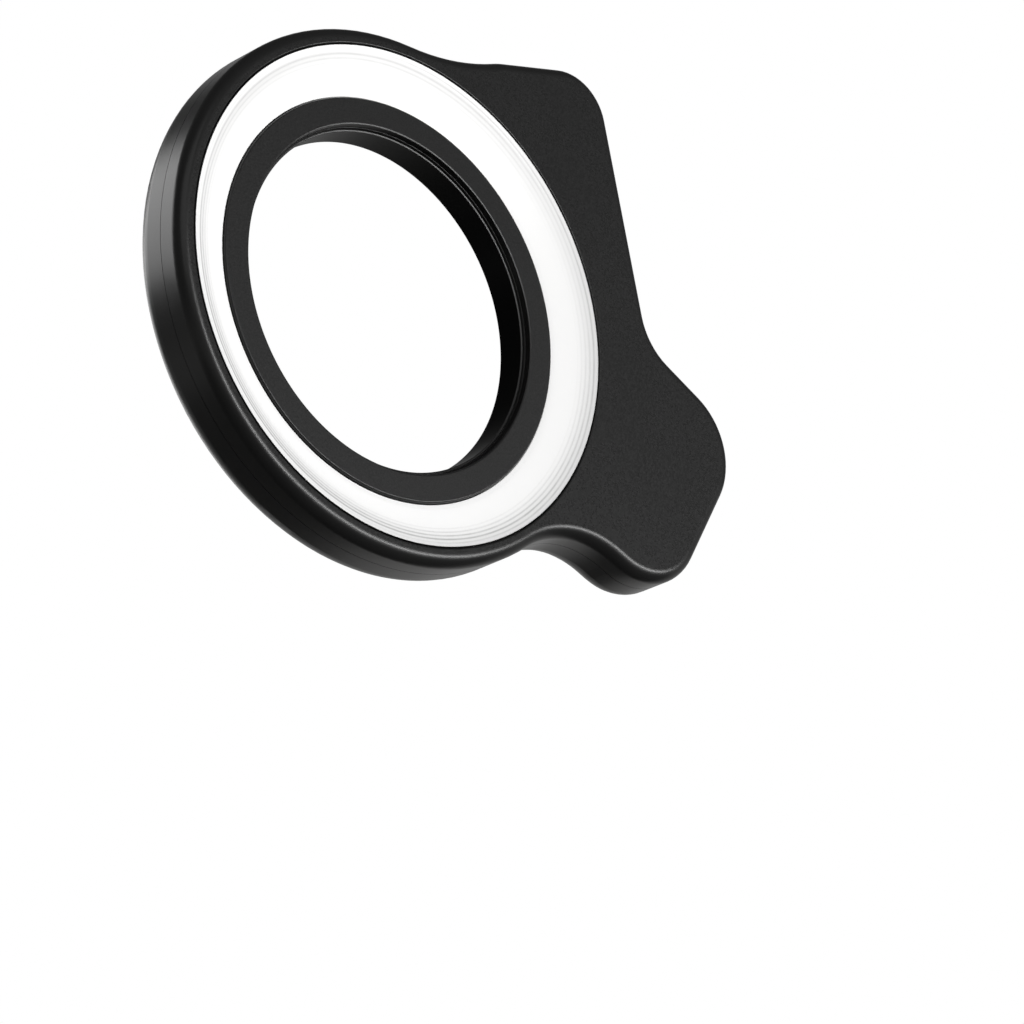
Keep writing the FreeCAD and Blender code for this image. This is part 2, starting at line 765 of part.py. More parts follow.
def make_light_pipe():
    """Clear bar with a pin to the casing's back for each battery light."""
    bar_start = flange_end_depth - pipe_bar_thickness
    bar_length = battery_light_xs[0] - battery_light_xs[-1] + 2 * (pipe_pin_radius + pipe_bar_end)
    middle = (battery_light_xs[0] + battery_light_xs[-1]) / 2
    pipe = block(middle, battery_light_z, bar_length, pipe_bar_width, bar_start, flange_end_depth)
    for x in battery_light_xs:
        pipe = pipe.fuse(disc(x, battery_light_z, pipe_pin_radius, bar_start, casing_depth))
    return pipe


def make_battery_lights():
    """Small lights on the back of the board, under the light pipe's pins."""
    return Part.makeCompound([
        block(x, battery_light_z, capacitor_length, capacitor_width, main_board_end,
              main_board_end + indicator_height)
        for x in battery_light_xs
    ])


def make_battery():
    """Flat cell with rounded edges."""
    cell = block(battery_x, battery_z, battery_length, battery_width, battery_depth,
                 battery_depth + battery_thickness)
    cell = cell.makeFillet(battery_edge_radius, cell.Edges)
    return turned_about(cell, battery_x, battery_z, battery_angle)


def make_battery_pad():
    """Sticky foam between the cell and the front shell."""
    pad = block(battery_x, battery_z, battery_length - 2 * battery_pad_margin,
                battery_width - 2 * battery_pad_margin, wall, battery_depth)
    return turned_about(pad, battery_x, battery_z, battery_angle)


def plug_place():
    """Centre of the battery plug at the lower end of the main board."""
    x = (board_ring_radius + grip_side_x - board_inset) / 2
    return x, board_bottom_z + plug_end_gap + plug_length / 2


def make_battery_plug():
    """Plug and header of the battery leads."""
    x, z = plug_place()
    return on_board_front(x, z, plug_width, plug_length, plug_height)


def make_battery_lead(side):
    """Lead from the cell's end, through the waist, up to the plug; side is -1 or 1."""
    y = y_at(battery_lead_depth)
    plug_x, plug_z = plug_place()
    plug_end_z = plug_z - plug_length / 2
    offset = side * battery_lead_spacing / 2
    turn_reach = battery_length / 2 + battery_lead_start - offset
    start_x, start_z = in_lobe(battery_length / 2, battery_lead_shift - offset)
    turn_x, turn_z = in_lobe(turn_reach, battery_lead_shift - offset)
    return lead([
        Vector(start_x, y, start_z),
        Vector(turn_x, y, turn_z),
        Vector(plug_x - offset, y, plug_end_z - battery_lead_drop - offset / 2),
        Vector(plug_x - offset, y, plug_end_z),
    ], battery_lead_radius, battery_lead_bend)


def make_led_leads():
    """Leads from the main board, through the notch in the ledge, to the back of the ring board."""
    start_x = board_ring_radius + 2 * led_lead_bend
    low_y = y_at(cavity_depth) - led_lead_radius - led_lead_gap
    leads = []
    for i in range(led_lead_count):
        z = (i - (led_lead_count - 1) / 2) * led_lead_spacing
        run = lead([
            Vector(start_x, y_at(main_board_end), z),
            Vector(start_x, low_y, z),
            Vector(inner_wall_radius - led_lead_reach, low_y, z),
        ], led_lead_radius, led_lead_bend)
        leads.append(turned_about(run, 0, 0, led_lead_angle))
    return Part.makeCompound(leads)


def make_case_screws():
    """Case screws with a cross slot in a flat head."""
    slots = ((cross_slot_length, cross_slot_width), (cross_slot_width, cross_slot_length))
    screws = []
    for x, z in screw_places:
        screw = disc(x, z, screw_head_radius, screw_seat_depth, screw_top_depth)
        screw = screw.fuse(disc(x, z, screw_radius, screw_tip_depth, screw_seat_depth))
        slot_start = screw_top_depth - cross_slot_depth
        cross = [block(x, z, *size, slot_start, screw_top_depth + overcut) for size in slots]
        screws.append(screw.cut(cross))
    return Part.makeCompound(screws)


parts = {
    "front_shell": make_front_shell(),
    "rear_shell": make_rear_shell(),
    "diffuser_ring": make_diffuser(),
    "inner_bezel": make_bezel(),
    "lens_adapter_ring": make_adapter(),
    "retaining_ring": make_retaining_ring(),
    "friction_washer": make_washer(),
    "led_board": tube(ring_part_inner, ring_part_outer, led_board_depth, led_board_end),
    "leds": make_leds(),
    "reflector_tray": make_reflector_tray(),
    "main_board": make_main_board(),
    "charge_socket": make_charge_socket(),
    "socket_tongue": make_socket_tongue(),
    "power_inductor": make_inductor(),
    "board_chips": make_board_chips(),
    "button_switches": make_switches(),
    "power_button": make_button("power_button"),
    "brighter_button": make_button("brighter_button"),
    "dimmer_button": make_button("dimmer_button"),
    "battery_light_pipe": make_light_pipe(),
    "battery_lights": make_battery_lights(),
    "battery_cell": make_battery(),
    "battery_pad": make_battery_pad(),
    "battery_plug": make_battery_plug(),
    "battery_lead_red": make_battery_lead(-1),
    "battery_lead_black": make_battery_lead(1),
    "led_leads": make_led_leads(),
    "case_screws": make_case_screws(),
}

os.makedirs("parts", exist_ok=True)
for name, shape in parts.items():
    shape.exportStep(f"parts/{name}.step")
    print(f"{name:20s} solids {len(shape.Solids):3d}  valid {shape.isValid()}  volume {shape.Volume:9.2f}")
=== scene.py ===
"""Looks of the macro ring light: fine pieces, finishes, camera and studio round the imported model."""

import json
import logging
import math
from collections.abc import Callable
from dataclasses import dataclass
from enum import Enum

import bmesh
import bpy
from mathutils import Matrix, Vector


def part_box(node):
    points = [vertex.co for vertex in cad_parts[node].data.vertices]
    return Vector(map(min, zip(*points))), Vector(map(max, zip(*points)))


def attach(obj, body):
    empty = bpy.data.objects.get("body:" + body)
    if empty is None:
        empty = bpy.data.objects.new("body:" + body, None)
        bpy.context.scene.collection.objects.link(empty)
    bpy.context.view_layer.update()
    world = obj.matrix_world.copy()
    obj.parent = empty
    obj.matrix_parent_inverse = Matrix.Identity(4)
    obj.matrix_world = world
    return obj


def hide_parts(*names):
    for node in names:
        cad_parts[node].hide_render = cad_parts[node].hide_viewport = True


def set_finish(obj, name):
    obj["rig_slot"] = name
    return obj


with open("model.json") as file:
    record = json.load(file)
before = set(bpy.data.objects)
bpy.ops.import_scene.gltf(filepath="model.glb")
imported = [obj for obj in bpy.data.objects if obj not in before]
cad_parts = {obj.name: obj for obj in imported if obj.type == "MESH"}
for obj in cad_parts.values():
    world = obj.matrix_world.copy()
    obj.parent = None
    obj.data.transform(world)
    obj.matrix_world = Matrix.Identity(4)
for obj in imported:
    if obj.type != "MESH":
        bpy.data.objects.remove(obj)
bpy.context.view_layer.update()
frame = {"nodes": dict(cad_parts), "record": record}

log = logging.getLogger("ring_light")
MM = 0.001
MERGE_DISTANCE = 1e-7
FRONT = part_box("front_shell")[0].y / MM

Colour = tuple[float, float, float]
Point = tuple[float, float]
Test = Callable[[Vector], bool]


class Slot(Enum):
    """Material slots of the record."""

    CASING = "casing_plastic"
    DIFFUSER = "diffuser_white"
    BEZEL = "bezel_plastic"
    ANODISED = "anodised_black"
    WASHER = "washer_plastic"
    RING_BOARD = "board_white"
    LED = "led_yellow"
    TRAY = "tray_white"
    MAIN_BOARD = "board_green"
    SOCKET = "socket_steel"
    CHIP = "chip_black"
    SWITCH = "switch_black"
    BUTTON = "button_rubber"
    PIPE = "pipe_clear"
    INDICATOR = "indicator_white"
    CELL = "cell_foil"
    FOAM = "foam_pad"
    PLUG = "plug_white"
    RED_LEAD = "lead_red"
    BLACK_LEAD = "lead_black"
    WHITE_LEAD = "lead_white"
    SCREW = "screw_black"


class Signal:
    """A value in a material's graph. Arithmetic on it adds Math nodes."""

    def __init__(self, graph: "Graph", socket: bpy.types.NodeSocket) -> None:
        """Wraps an output socket of a graph."""
        self.graph = graph
        self.socket = socket

    def math(self, operation: str, first: "Operand", second: "Operand" = 0.0) -> "Signal":
        """Adds a Math node.

        Args:
            operation: Name of the Math node's operation.
            first: Left operand.
            second: Right operand.

        Returns:
            The node's result.
        """
        return self.graph.node("ShaderNodeMath", {"operation": operation}, {0: first, 1: second})

    def __add__(self, other: "Operand") -> "Signal":
        """Sum of two values."""
        return self.math("ADD", self, other)

    def __radd__(self, other: float) -> "Signal":
        """Sum with a number on the left."""
        return self.math("ADD", other, self)

    def __sub__(self, other: "Operand") -> "Signal":
        """Difference of two values."""
        return self.math("SUBTRACT", self, other)

    def __rsub__(self, other: float) -> "Signal":
        """Difference from a number on the left."""
        return self.math("SUBTRACT", other, self)

    def __mul__(self, other: "Operand") -> "Signal":
        """Product of two values."""
        return self.math("MULTIPLY", self, other)

    def __rmul__(self, other: float) -> "Signal":
        """Product with a number on the left."""
        return self.math("MULTIPLY", other, self)

    def __pow__(self, other: "Operand") -> "Signal":
        """Power of a value."""
        return self.math("POWER", self, other)

    def sine(self) -> "Signal":
        """Sine of a value in radians."""
        return self.math("SINE", self)

    def root(self) -> "Signal":
        """Square root of a value."""
        return self.math("SQRT", self)

    def size(self) -> "Signal":
        """Value without its sign."""
        return self.math("ABSOLUTE", self)

    def step(self, low: float, high: float) -> "Signal":
        """Smooth step.

        Args:
            low: Value at which the result is 0.
            high: Value at which the result is 1.

        Returns:
            A value from 0 to 1.
        """
        inputs = {"Value": self, "From Min": low, "From Max": high}
        return self.graph.node("ShaderNodeMapRange", {"interpolation_type": "SMOOTHSTEP"}, inputs)


Operand = Signal | float


class Graph:
    """Node graph of a material or of the world."""

    def __init__(self, tree: bpy.types.NodeTree) -> None:
        """Wraps a node tree."""
        self.tree = tree

    def place(self) -> Signal:
        """Object coordinates in metres."""
        return self.node("ShaderNodeTexCoord", output="Object")

    def output_of(self, signal: Signal, name: str) -> Signal:
        """Another output of the node that a signal comes from."""
        return Signal(self, signal.socket.node.outputs[name])

    def node(
        self,
        kind: str,
        settings: dict[str, object] | None = None,
        inputs: dict[int | str, object] | None = None,
        output: int | str = 0,
    ) -> Signal:
        """Adds a node.

        Args:
            kind: The node's type.
            settings: Properties that are set before its sockets.
            inputs: Numbers, colours or signals by socket.
            output: Socket that is read.

        Returns:
            The output that was asked for.
        """
        node = self.tree.nodes.new(kind)
        for key, value in (settings or {}).items():
            setattr(node, key, value)
        for key, value in (inputs or {}).items():
            self.feed(node.inputs[key], value)
        return Signal(self, node.outputs[output])

    def feed(self, socket: bpy.types.NodeSocket, value: object) -> None:
        """Links a signal to a socket, or sets its constant.

        Args:
            socket: Input socket.
            value: Signal, number or colour.
        """
        if isinstance(value, Signal):
            self.tree.links.new(value.socket, socket)
        elif isinstance(value, tuple) and len(value) == 3 and len(socket.default_value) == 4:
            socket.default_value = (*value, 1.0)
        else:
            socket.default_value = value

    def noise(
        self,
        size: float,
        detail: float = 2.0,
        roughness: float = 0.5,
        place: Signal | None = None,
    ) -> Signal:
        """Noise from 0 to 1.

        Args:
            size: Size of its spots in millimetres.
            detail: Number of finer layers.
            roughness: Strength of the finer layers.
            place: Coordinates, or None for the object's own.

        Returns:
            The noise.
        """
        inputs = {
            "Vector": place or self.place(),
            "Scale": 1 / (size * MM),
            "Detail": detail,
            "Roughness": roughness,
        }
        return self.node("ShaderNodeTexNoise", None, inputs)

    def axis(self, name: str) -> Signal:
        """Object coordinate in millimetres.

        Args:
            name: X, Y or Z.

        Returns:
            The coordinate.
        """
        return self.node("ShaderNodeSeparateXYZ", None, {0: self.place()}, output=name) * (1 / MM)

    def radius(self) -> Signal:
        """Distance from the optical axis in millimetres."""
        across, up = self.axis("X"), self.axis("Z")
        return (across * across + up * up).root()

    def tint(self, amount: Operand, low: "Colour | Signal", high: "Colour | Signal") -> Signal:
        """Blend of two colours.

        Args:
            amount: 0 for the first colour, 1 for the second.
            low: First colour, or a signal that gives it.
            high: Second colour, or a signal that gives it.

        Returns:
            The colour.
        """
        return self.node("ShaderNodeMix", {"data_type": "RGBA"}, {0: amount, 6: low, 7: high}, output=2)

    def bump(self, height: Signal, relief: float) -> Signal:
        """Surface normal of a relief.

        Args:
            height: Height from 0 to 1.
            relief: Height in millimetres that 1 stands for.

        Returns:
            The normal.
        """
        inputs = {"Height": height, "Distance": relief * MM, "Strength": 1.0}
        return self.node("ShaderNodeBump", None, inputs)


class Coat(Graph):
    """Graph of one material, with its Principled shader."""

    def __init__(self, name: str) -> None:
        """Makes a material.

        Args:
            name: Its name.
        """
        self.material = bpy.data.materials.new(name)
        self.material.use_nodes = True
        super().__init__(self.material.node_tree)
        self.shader = self.tree.nodes["Principled BSDF"]

    def dress(self, **values: object) -> bpy.types.Material:
        """Sets the shader's sockets.

        Args:
            values: Signals or constants, by the socket's name with underscores for its spaces.

        Returns:
            The finished material.
        """
        for key, value in values.items():
            self.feed(self.shader.inputs[key.replace("_", " ")], value)
        return self.material


def shade(colour: Colour, factor: float) -> Colour:
    """Colour made lighter or darker.

    Args:
        colour: Linear colour.
        factor: Factor on each channel.

    Returns:
        The new colour.
    """
    return tuple(min(1.0, channel * factor) for channel in colour)


class Element(Enum):
    """Elements of a mesh that are selected, with their select modes."""

    EDGES = "EDGE"
    FACES = "FACE"


def depth_to_y(depth: float) -> float:
    """Y in metres of a plane that many millimetres behind the casing's front."""
    return (FRONT + depth) * MM


def at_ring(radius: float, depth: float, tolerance: float = 0.004) -> Test:
    """Test for the points of one ring about the optical axis, in millimetres.

    Args:
        radius: Its radius.
        depth: Its depth behind the casing's front.
        tolerance: How far off a point of the ring may lie.

    Returns:
        A test of a point in metres.
    """

    def test(point: Vector) -> bool:
        """True on the ring."""
        off_radius = abs(math.hypot(point.x, point.z) / MM - radius)
        return off_radius < tolerance and abs(point.y / MM - FRONT - depth) < tolerance

    return test


class Workpiece:
    """Mesh shaped in edit mode. Sizes are in millimetres, and depths start at the casing's front."""

    def __init__(self, name: str) -> None:
        """Takes the active object, which is new, and opens it in edit mode.

        Args:
            name: Name that the piece gets.
        """
        self.body = bpy.context.object
        self.body.name = name
        self.body.data.name = name
        bpy.ops.object.transform_apply(location=True, rotation=True, scale=True)
        bpy.ops.object.mode_set(mode="EDIT")

    @staticmethod
    def ring(name: str, radius: float, depth: float, segments: int = 256) -> "Workpiece":
        """Starts from a circle about the optical axis.

        Args:
            name: Name of the piece.
            radius: Radius of the circle.
            depth: Its depth.
            segments: Number of its edges.

        Returns:
            The piece, with the circle selected.
        """
        bpy.ops.object.select_all(action="DESELECT")
        bpy.ops.mesh.primitive_circle_add(
            vertices=segments,
            radius=radius * MM,
            fill_type="NOTHING",
            location=(0.0, depth_to_y(depth), 0.0),
            rotation=(math.pi / 2, 0.0, 0.0),
        )
        return Workpiece(name)

    @staticmethod
    def turned(name: str, section: list[Point], closed: bool = True, segments: int = 256) -> "Workpiece":
        """Turns a section about the optical axis.

        Args:
            name: Name of the piece.
            section: Points as radius and depth.
            closed: Whether the last ring is joined to the first.
            segments: Number of edges of each ring.

        Returns:
            The piece.
        """
        piece = Workpiece.ring(name, *section[0], segments)
        piece.extend_ring(section)
        if closed:
            piece.join_open_rings(lambda point: True)
        return piece

    @staticmethod
    def copy_of_node(name: str, node: str) -> "Workpiece":
        """Starts from a copy of a solid's mesh, with its loose triangles joined.

        Args:
            name: Name of the piece.
            node: CAD node that is copied.

        Returns:
            The piece.
        """
        bpy.ops.object.select_all(action="DESELECT")
        body = bpy.data.objects.new(name, frame["nodes"][node].data.copy())
        bpy.context.scene.collection.objects.link(body)
        body.select_set(True)
        bpy.context.view_layer.objects.active = body
        bpy.ops.mesh.customdata_custom_splitnormals_clear()
        piece = Workpiece(name)
        bpy.ops.mesh.select_all(action="SELECT")
        bpy.ops.mesh.remove_doubles(threshold=MERGE_DISTANCE)
        return piece

    def extend_ring(self, section: list[Point]) -> None:
        """Extrudes the selected ring along a section.

        Args:
            section: Points as radius and depth, with the selected ring first.
        """
        for (radius, depth), (next_radius, next_depth) in zip(section, section[1:]):
            shift = (0.0, (next_depth - depth) * MM, 0.0)
            bpy.ops.mesh.extrude_region_move(TRANSFORM_OT_translate={"value": shift})
            factor = next_radius / radius
            bpy.ops.transform.resize(value=(factor, 1.0, factor), center_override=(0.0, 0.0, 0.0))

    def select(self, kind: Element, test: Test, facing: Test | None = None) -> None:
        """Selects the elements whose corners all pass a test.

        Args:
            kind: Edges or faces.
            test: Test of a point in metres.
            facing: Test of a face's normal, or None.
        """
        bpy.ops.mesh.select_mode(type=kind.value)
        bpy.ops.mesh.select_all(action="DESELECT")
        mesh = bmesh.from_edit_mesh(self.body.data)
        for element in mesh.edges if kind is Element.EDGES else mesh.faces:
            turned_so = facing is None or facing(element.normal)
            element.select_set(turned_so and all(test(vertex.co) for vertex in element.verts))
        bmesh.update_edit_mesh(self.body.data)

    def select_open_edges(self, test: Test) -> set[int]:
        """Selects the edges of holes whose ends pass a test.

        Args:
            test: Test of a point in metres.

        Returns:
            The levels along Y at which they lie, in steps of the merge distance.
        """
        bpy.ops.mesh.select_mode(type="EDGE")
        bpy.ops.mesh.select_all(action="DESELECT")
        mesh = bmesh.from_edit_mesh(self.body.data)
        for edge in mesh.edges:
            edge.select_set(edge.is_boundary and all(test(vertex.co) for vertex in edge.verts))
        levels = {round(edge.verts[0].co.y / MERGE_DISTANCE) for edge in mesh.edges if edge.select}
        bmesh.update_edit_mesh(self.body.data)
        return levels

    def join_open_rings(self, test: Test) -> None:
        """Bridges the open rings whose points pass a test."""
        self.select_open_edges(test)
        bpy.ops.mesh.bridge_edge_loops()

    def cap_open_rings(self) -> None:
        """Closes each open ring with one face."""
        for level in self.select_open_edges(lambda point: True):
            self.select_open_edges(lambda point: abs(point.y / MERGE_DISTANCE - level) < 1)
            bpy.ops.mesh.edge_face_add()

    def round_ring(self, radius: float, depth: float, size: float, segments: int = 4) -> None:
        """Rounds the edge at one ring.

        Args:
            radius: Radius of the ring.
            depth: Its depth.
            size: Size of the rounding.
            segments: Number of its steps.
        """
        self.select(Element.EDGES, at_ring(radius, depth))
        bpy.ops.mesh.bevel(offset=size * MM, segments=segments, profile=0.5, affect="EDGES")

    def copies(self, places: tuple[Point, ...]) -> list[bpy.types.Object]:
        """Puts the finished piece at the first place and copies of it at the others.

        Args:
            places: Places as X and Z, in millimetres.

        Returns:
            The piece and its copies, each with its own mesh.
        """
        meshes = [self.body.data.copy() for _ in places]
        stem = self.body.name
        made = [self.body, *(self.body.copy() for _ in places[1:])]
        for i, (copy, mesh, (x, z)) in enumerate(zip(made, meshes, places)):
            mesh.transform(Matrix.Translation((x * MM, 0.0, z * MM)))
            copy.data = mesh
            copy.name = f"{stem}_{i + 1}"
            if copy is not self.body:
                bpy.context.scene.collection.objects.link(copy)
        return made

    def finish(self, body: str, slot: Slot, nodes: list[str], sharp_angle: float = 35.0) -> bpy.types.Object:
        """Closes the mesh, smooths it and hangs it on its body.

        Args:
            body: CAD body that it rides on.
            slot: Material slot of the record.
            nodes: CAD nodes that it stands for.
            sharp_angle: Edges sharper than this many degrees stay sharp.

        Returns:
            The finished object.
        """
        bpy.ops.mesh.select_all(action="SELECT")
        bpy.ops.mesh.remove_doubles(threshold=MERGE_DISTANCE)
        bpy.ops.mesh.normals_make_consistent(inside=False)
        bpy.ops.object.mode_set(mode="OBJECT")
        bpy.ops.object.shade_smooth_by_angle(angle=math.radians(sharp_angle))
        even = self.body.modifiers.new("even_faces", "WEIGHTED_NORMAL")
        even.keep_sharp = True
        bpy.ops.object.modifier_apply(modifier=even.name)
        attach(self.body, body)
        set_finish(self.body, slot.value)
        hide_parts(*nodes)
        return self.body


@dataclass
class CaseFront:
    """Front half of the casing: the solid's mesh, with its rim and opening made anew in even steps."""

    rim_rounding: float = 1.7
    rim_steps: int = 14
    opening_radius: float = 35.15
    opening_wall_end: float = 1.5
    relief_radius: float = 35.24
    relief_depth: float = 0.8
    opening_rounding: float = 0.22
    opening_steps: int = 8
    slack: float = 0.02
    forward_limit: float = -0.01
    flat_limit: float = -0.999999

    def build(self) -> bpy.types.Object:
        """Copies the solid, takes its front skin off and makes it anew."""
        piece = Workpiece.copy_of_node("case_front", "front_shell")
        self.strip(piece)
        self.round_rim(piece)
        self.round_opening(piece)
        piece.select_open_edges(self.within(0.0, self.slack))
        bpy.ops.mesh.fill()
        return piece.finish("housing", Slot.CASING, ["front_shell"])

    def within(self, start: float, end: float) -> Test:
        """Test for the points between two depths."""
        low, high = depth_to_y(start - self.slack), depth_to_y(end + self.slack)
        return lambda point: low < point.y < high

    def in_opening(self, start: float, end: float) -> Test:
        """Test for the points of the opening's wall between two depths.

        Args:
            start: First depth.
            end: Last depth.

        Returns:
            A test of a point in metres.
        """
        at_depth = self.within(start, end)
        largest = (self.opening_radius + self.slack) * MM
        return lambda point: at_depth(point) and math.hypot(point.x, point.z) < largest

    def strip(self, piece: Workpiece) -> None:
        """Removes the rounded rim, the flat face and the opening's wall.

        Args:
            piece: The copy, in edit mode.
        """
        at_front = self.within(0.0, self.rim_rounding)
        piece.select(Element.FACES, at_front, lambda normal: normal.y < self.forward_limit)
        bpy.ops.mesh.delete(type="FACE")
        piece.select(Element.FACES, self.in_opening(0.0, self.opening_wall_end))
        bpy.ops.mesh.delete(type="FACE")

    def round_rim(self, piece: Workpiece) -> None:
        """Carries the side wall on to the front, closes it and rounds its rim.

        Args:
            piece: The stripped copy, in edit mode.
        """
        piece.select_open_edges(self.within(self.rim_rounding, self.rim_rounding))
        shift = (0.0, -self.rim_rounding * MM, 0.0)
        bpy.ops.mesh.extrude_region_move(TRANSFORM_OT_translate={"value": shift})
        bpy.ops.mesh.edge_face_add()
        piece.select(Element.EDGES, self.within(0.0, 0.0))
        bpy.ops.mesh.bevel(
            offset=self.rim_rounding * MM,
            segments=self.rim_steps,
            profile=0.5,
            affect="EDGES",
        )
        piece.select(Element.FACES, self.within(0.0, 0.0), lambda normal: normal.y < self.flat_limit)
        bpy.ops.mesh.delete(type="FACE")

    def round_opening(self, piece: Workpiece) -> None:
        """Makes the opening's wall, which steps back before its rounded edge.

        Args:
            piece: The copy with its new rim, in edit mode.
        """
        section = [
            (self.opening_radius, self.opening_wall_end),
            (self.opening_radius, self.relief_depth),
            (self.relief_radius, self.relief_depth),
        ]
        for i in range(self.opening_steps + 1):
            angle = math.pi / 2 * i / self.opening_steps
            radius = self.relief_radius + self.opening_rounding * (1.0 - math.cos(angle))
            section.append((radius, self.opening_rounding * (1.0 - math.sin(angle))))
        piece.select_open_edges(self.in_opening(self.opening_wall_end, self.opening_wall_end))
        piece.extend_ring(section)


@dataclass
class Diffuser:
    """White cone ring with fine ribs near its rim, a flange under the casing and a foot on the bezel."""

    rim_radius: float = 35.0
    inner_radius: float = 28.55
    cone_depth: float = 2.7
    flange_radius: float = 36.08
    flange_start: float = 1.5
    flange_end: float = 2.3
    step_radius: float = 33.4
    foot_radius: float = 29.7
    foot_depth: float = 3.75
    rib_start: float = 31.64
    rib_count: int = 6
    rib_pitch: float = 0.56
    rib_height: float = 0.05
    edge_radius: float = 0.06

    def last_groove(self) -> float:
        """Radius of the outermost groove."""
        return self.rib_start + (self.rib_count - 1) * self.rib_pitch

    def on_cone(self, radius: float) -> float:
        """Depth of the cone at a radius."""
        return self.cone_depth * (self.rim_radius - radius) / (self.rim_radius - self.inner_radius)

    def build(self) -> bpy.types.Object:
        """Turns the ring with its ribs and rounds its edges."""
        section = [(self.inner_radius, self.cone_depth)]
        for i in range(self.rib_count):
            groove = self.rib_start + i * self.rib_pitch
            crest = groove + self.rib_pitch / 2
            section += [(groove, self.on_cone(groove) + self.rib_height), (crest, self.on_cone(crest))]
        section += [
            (self.rim_radius, 0.0),
            (self.rim_radius, self.flange_start),
            (self.flange_radius, self.flange_start),
            (self.flange_radius, self.flange_end),
            (self.step_radius, self.flange_end),
            (self.foot_radius, self.foot_depth),
            (self.inner_radius, self.foot_depth),
        ]
        piece = Workpiece.turned("diffuser", section)
        piece.round_ring(self.rim_radius, 0.0, self.edge_radius)
        piece.round_ring(self.inner_radius, self.cone_depth, self.edge_radius)
        return piece.finish("housing", Slot.DIFFUSER, ["diffuser_ring"], sharp_angle=28.0)


@dataclass
class Bezel:
    """Black ring with a ridged lip, a skirt for the adapter and the tube that lines the well."""

    face_depth: float = 2.27
    outer_radius: float = 28.4
    outer_rounding: float = 0.28
    lip_radius: float = 24.72
    bevel_width: float = 0.2
    bevel_depth: float = 0.065
    lip_rounding: float = 0.02
    lip_depth: float = 3.3
    ledge_radius: float = 24.42
    ledge_depth: float = 3.1
    ridge_count: int = 2
    ridge_pitch: float = 0.11
    ridge_height: float = 0.04
    ridge_rounding: float = 0.012
    throat_radius: float = 24.12
    skirt_radius: float = 27.6
    skirt_end: float = 5.0
    well_radius: float = 29.0
    well_outer_radius: float = 29.8
    well_end: float = 9.5
    foot_depth: float = 3.75
    well_rounding: float = 0.15

    def build(self) -> bpy.types.Object:
        """Turns the ring and rounds its edges."""
        ridges = []
        for i in range(self.ridge_count):
            foot = self.ledge_radius - i * self.ridge_pitch
            top = foot - self.ridge_pitch / 2
            ridges += [(foot, self.ledge_depth + self.ridge_height), (top, self.ledge_depth)]
        bevel_end = (self.lip_radius - self.bevel_width, self.face_depth + self.bevel_depth)
        section = [(self.lip_radius, self.face_depth), bevel_end, *ridges]
        section += [
            (self.throat_radius, self.lip_depth),
            (self.skirt_radius, self.lip_depth),
            (self.skirt_radius, self.skirt_end),
            (self.well_radius, self.skirt_end),
            (self.well_radius, self.well_end),
            (self.well_outer_radius, self.well_end),
            (self.well_outer_radius, self.foot_depth),
            (self.outer_radius, self.foot_depth),
            (self.outer_radius, self.face_depth),
        ]
        piece = Workpiece.turned("bezel", section)
        piece.round_ring(self.outer_radius, self.face_depth, self.outer_rounding, 6)
        piece.round_ring(self.lip_radius, self.face_depth, self.lip_rounding, 2)
        piece.round_ring(*bevel_end, self.lip_rounding, 2)
        piece.round_ring(self.well_radius, self.well_end, self.well_rounding)
        piece.round_ring(self.well_outer_radius, self.well_end, self.well_rounding)
        for radius, depth in ridges:
            piece.round_ring(radius, depth, self.ridge_rounding, 2)
        return piece.finish("housing", Slot.BEZEL, ["inner_bezel"])


